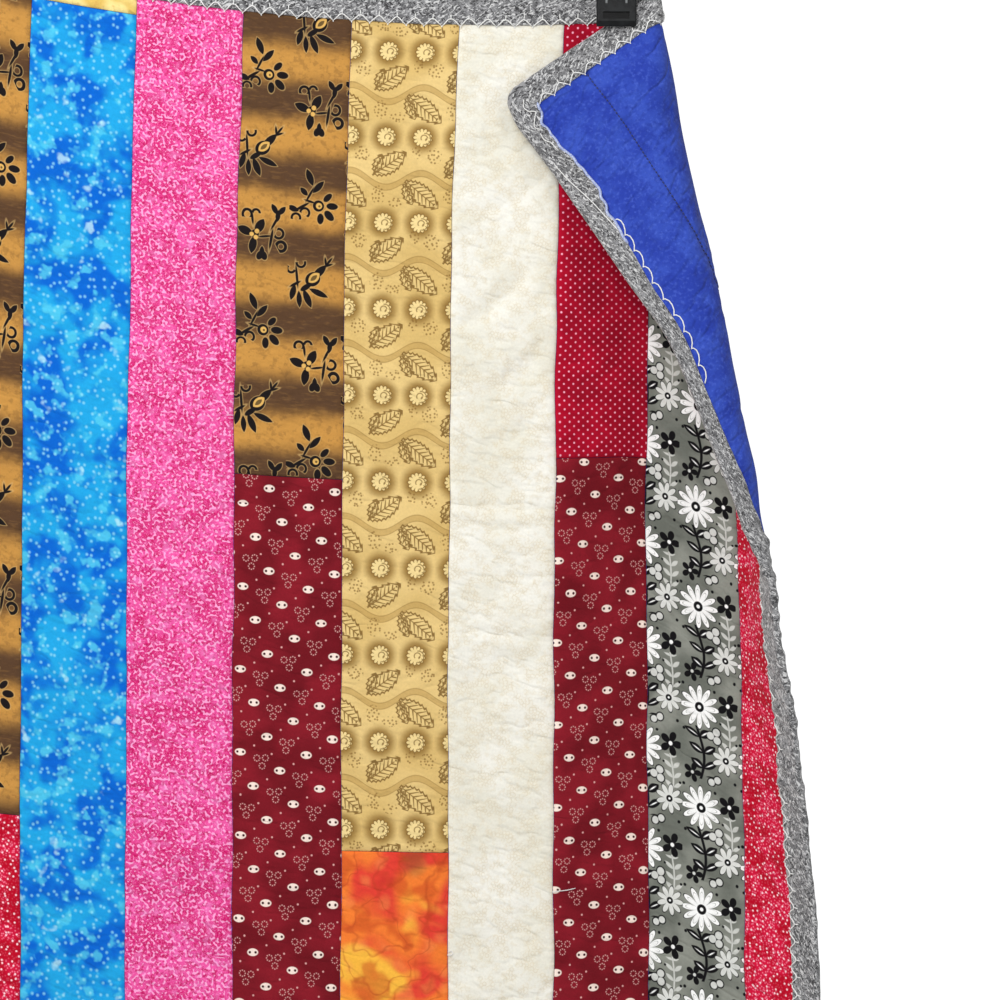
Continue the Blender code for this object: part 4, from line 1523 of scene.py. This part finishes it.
# Patches of each strip from the top down, strips from the left: print and lower end in
# millimetres. The last patch of a strip runs to the lower edge.
PATCHES = (
    (("burgundy", None),),
    (("white", None),),
    (("orange", 700), ("pin_dot", None)),
    (("tan", None),),
    (("pink", 430), ("brown", None)),
    (("grey_floral", None),),
    (("burgundy", 560), ("blue", None)),
    (("white", None),),
    (("brown", 620), ("red_specks", None)),
    (("yellow", 34), ("blue", None)),
    (("pink", None),),
    (("brown", 359), ("burgundy", None)),
    (("tan", 629), ("orange", 920), ("tan", None)),
    (("white", None),),
    (("pin_dot", 341), ("burgundy", None)),
    (("grey_floral", None),),
    (("red_specks", None),),
)
PRINTS = {
    "pink": print_pink, "brown": print_brown, "burgundy": print_burgundy, "tan": print_tan,
    "white": print_white, "pin_dot": print_pin_dot, "grey_floral": print_grey_floral,
    "red_specks": print_red_specks, "orange": print_orange, "blue": print_blue,
    "yellow": print_yellow,
}


def build_top(cloth):
    cottons = {name: cotton("cotton_" + name, draw) for name, draw in PRINTS.items()}
    for strip, patches in enumerate(PATCHES):
        start = UNDER_BINDING
        for number, (print_name, lower) in enumerate(patches):
            end = LENGTH - UNDER_BINDING if lower is None else lower * MM
            name = f"patch_{strip:02d}_{number}_{print_name}"
            add_patch(cloth, name, strip, start, end, cottons[print_name])
            start = end


def build_stitches(cloth):
    white = thread_material("thread_white", (246, 246, 244), (222, 222, 220))
    blue = thread_material("thread_blue", (20, 30, 96), (14, 22, 74))
    pale = thread_material("lining_edge", (196, 206, 232), (138, 152, 204))
    for side in ("top", "right", "bottom", "left"):
        for face, front in (("front", True), ("back", False)):
            name = f"stitches_{face}_{side}"
            tubes(name, honeycomb(cloth, side, front), THREAD, white)
    tubes("binding_lip", lip_edge(cloth), LIP_EDGE, pale)
    tubes("stitches_loose_corner", lip_threads(cloth), THREAD * 0.8, white)
    tubes("thread_ends", loose_threads(cloth), THREAD * 0.7, white)
    tubes("stitches_quilting", quilting_stitches(cloth), QUILT_THREAD, blue)


def paint_clips(frame):
    plastic, steel = plastic_material(), steel_material()
    for name, node in frame["nodes"].items():
        if name.startswith("clip_"):
            node.data.materials.clear()
            node.data.materials.append(steel if "spring" in name else plastic)


def add_world():
    """Even white light, and a plain white backdrop for the camera."""
    bpy.context.scene.view_settings.view_transform = "Standard"
    world = bpy.data.worlds.new("studio")
    bpy.context.scene.world = world
    world.use_nodes = True
    nodes, links = world.node_tree.nodes, world.node_tree.links
    path, choose = nodes.new("ShaderNodeLightPath"), nodes.new("ShaderNodeMixShader")
    light, backdrop = nodes["Background"], nodes.new("ShaderNodeBackground")
    links.new(path.outputs["Is Camera Ray"], choose.inputs[0])
    for place, node, strength in ((1, light, WORLD_LIGHT), (2, backdrop, WORLD_SEEN)):
        settle(node, Color=(1, 1, 1, 1), Strength=strength)
        links.new(node.outputs[0], choose.inputs[place])
    links.new(choose.outputs[0], nodes["World Output"].inputs[0])


def add_area(name, place, aim, size, power):
    """A round area light aimed at a point."""
    lamp = bpy.data.lights.new(name, "AREA")
    lamp.shape = "DISK"
    lamp.size = size
    lamp.energy = power
    made = in_scene(bpy.data.objects.new(name, lamp))
    made.location = place
    way = np.array(aim) - np.array(place)
    made.rotation_euler = Vector(way).to_track_quat("-Z", "Y").to_euler()


def add_floor():
    """A pale floor below the quilt."""
    marks = np.linspace(-FLOOR_HALF, FLOOR_HALF, FLOOR_STEPS + 1)
    xx, yy = np.meshgrid(marks, marks)
    points = np.stack([xx.ravel(), yy.ravel(), np.full(xx.size, FLOOR_AT)], axis=1)
    faces = grid_faces(FLOOR_STEPS + 1, FLOOR_STEPS + 1, front=False)
    mesh = bpy.data.meshes.new("studio_floor")
    mesh.from_pydata(points.tolist(), [], faces.tolist())
    material, tree, shader = start_material("pale_floor", Roughness=0.8)
    node = tree.nodes.new("ShaderNodeTexCoord")
    shade = noise(Wire(tree, node.outputs["Object"]), 0.4, 2.0)
    settle(shader, Base_Color=mix(shade, (0.60, 0.60, 0.59), (0.64, 0.64, 0.63)))
    mesh.materials.append(material)
    floor = in_scene(bpy.data.objects.new("studio_floor", mesh))


def add_camera():
    """The photograph's view: square on, over the folded corner."""
    lens = bpy.data.cameras.new("camera")
    lens.sensor_width = 36.0
    lens.lens = lens.sensor_width * -CAMERA_AT[1] / VIEW_WIDTH
    camera = in_scene(bpy.data.objects.new("camera", lens))
    camera.location = CAMERA_AT
    camera.rotation_euler = (pi / 2, 0, 0)
    bpy.context.scene.camera = camera


def build():
    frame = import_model()
    add_camera()
    add_world()
    for lamp in LAMPS:
        add_area(*lamp)
    add_floor()
    cloth = Cloth()
    build_top(cloth)
    add_backing(cloth, cotton("cotton_backing", print_backing, sheen=0.10, crumpled=1.8))
    binding, perimeter, strip_width = add_binding(cloth, flannel("flannel_heather", print_heather))
    build_stitches(cloth)
    paint_clips(frame)


build()
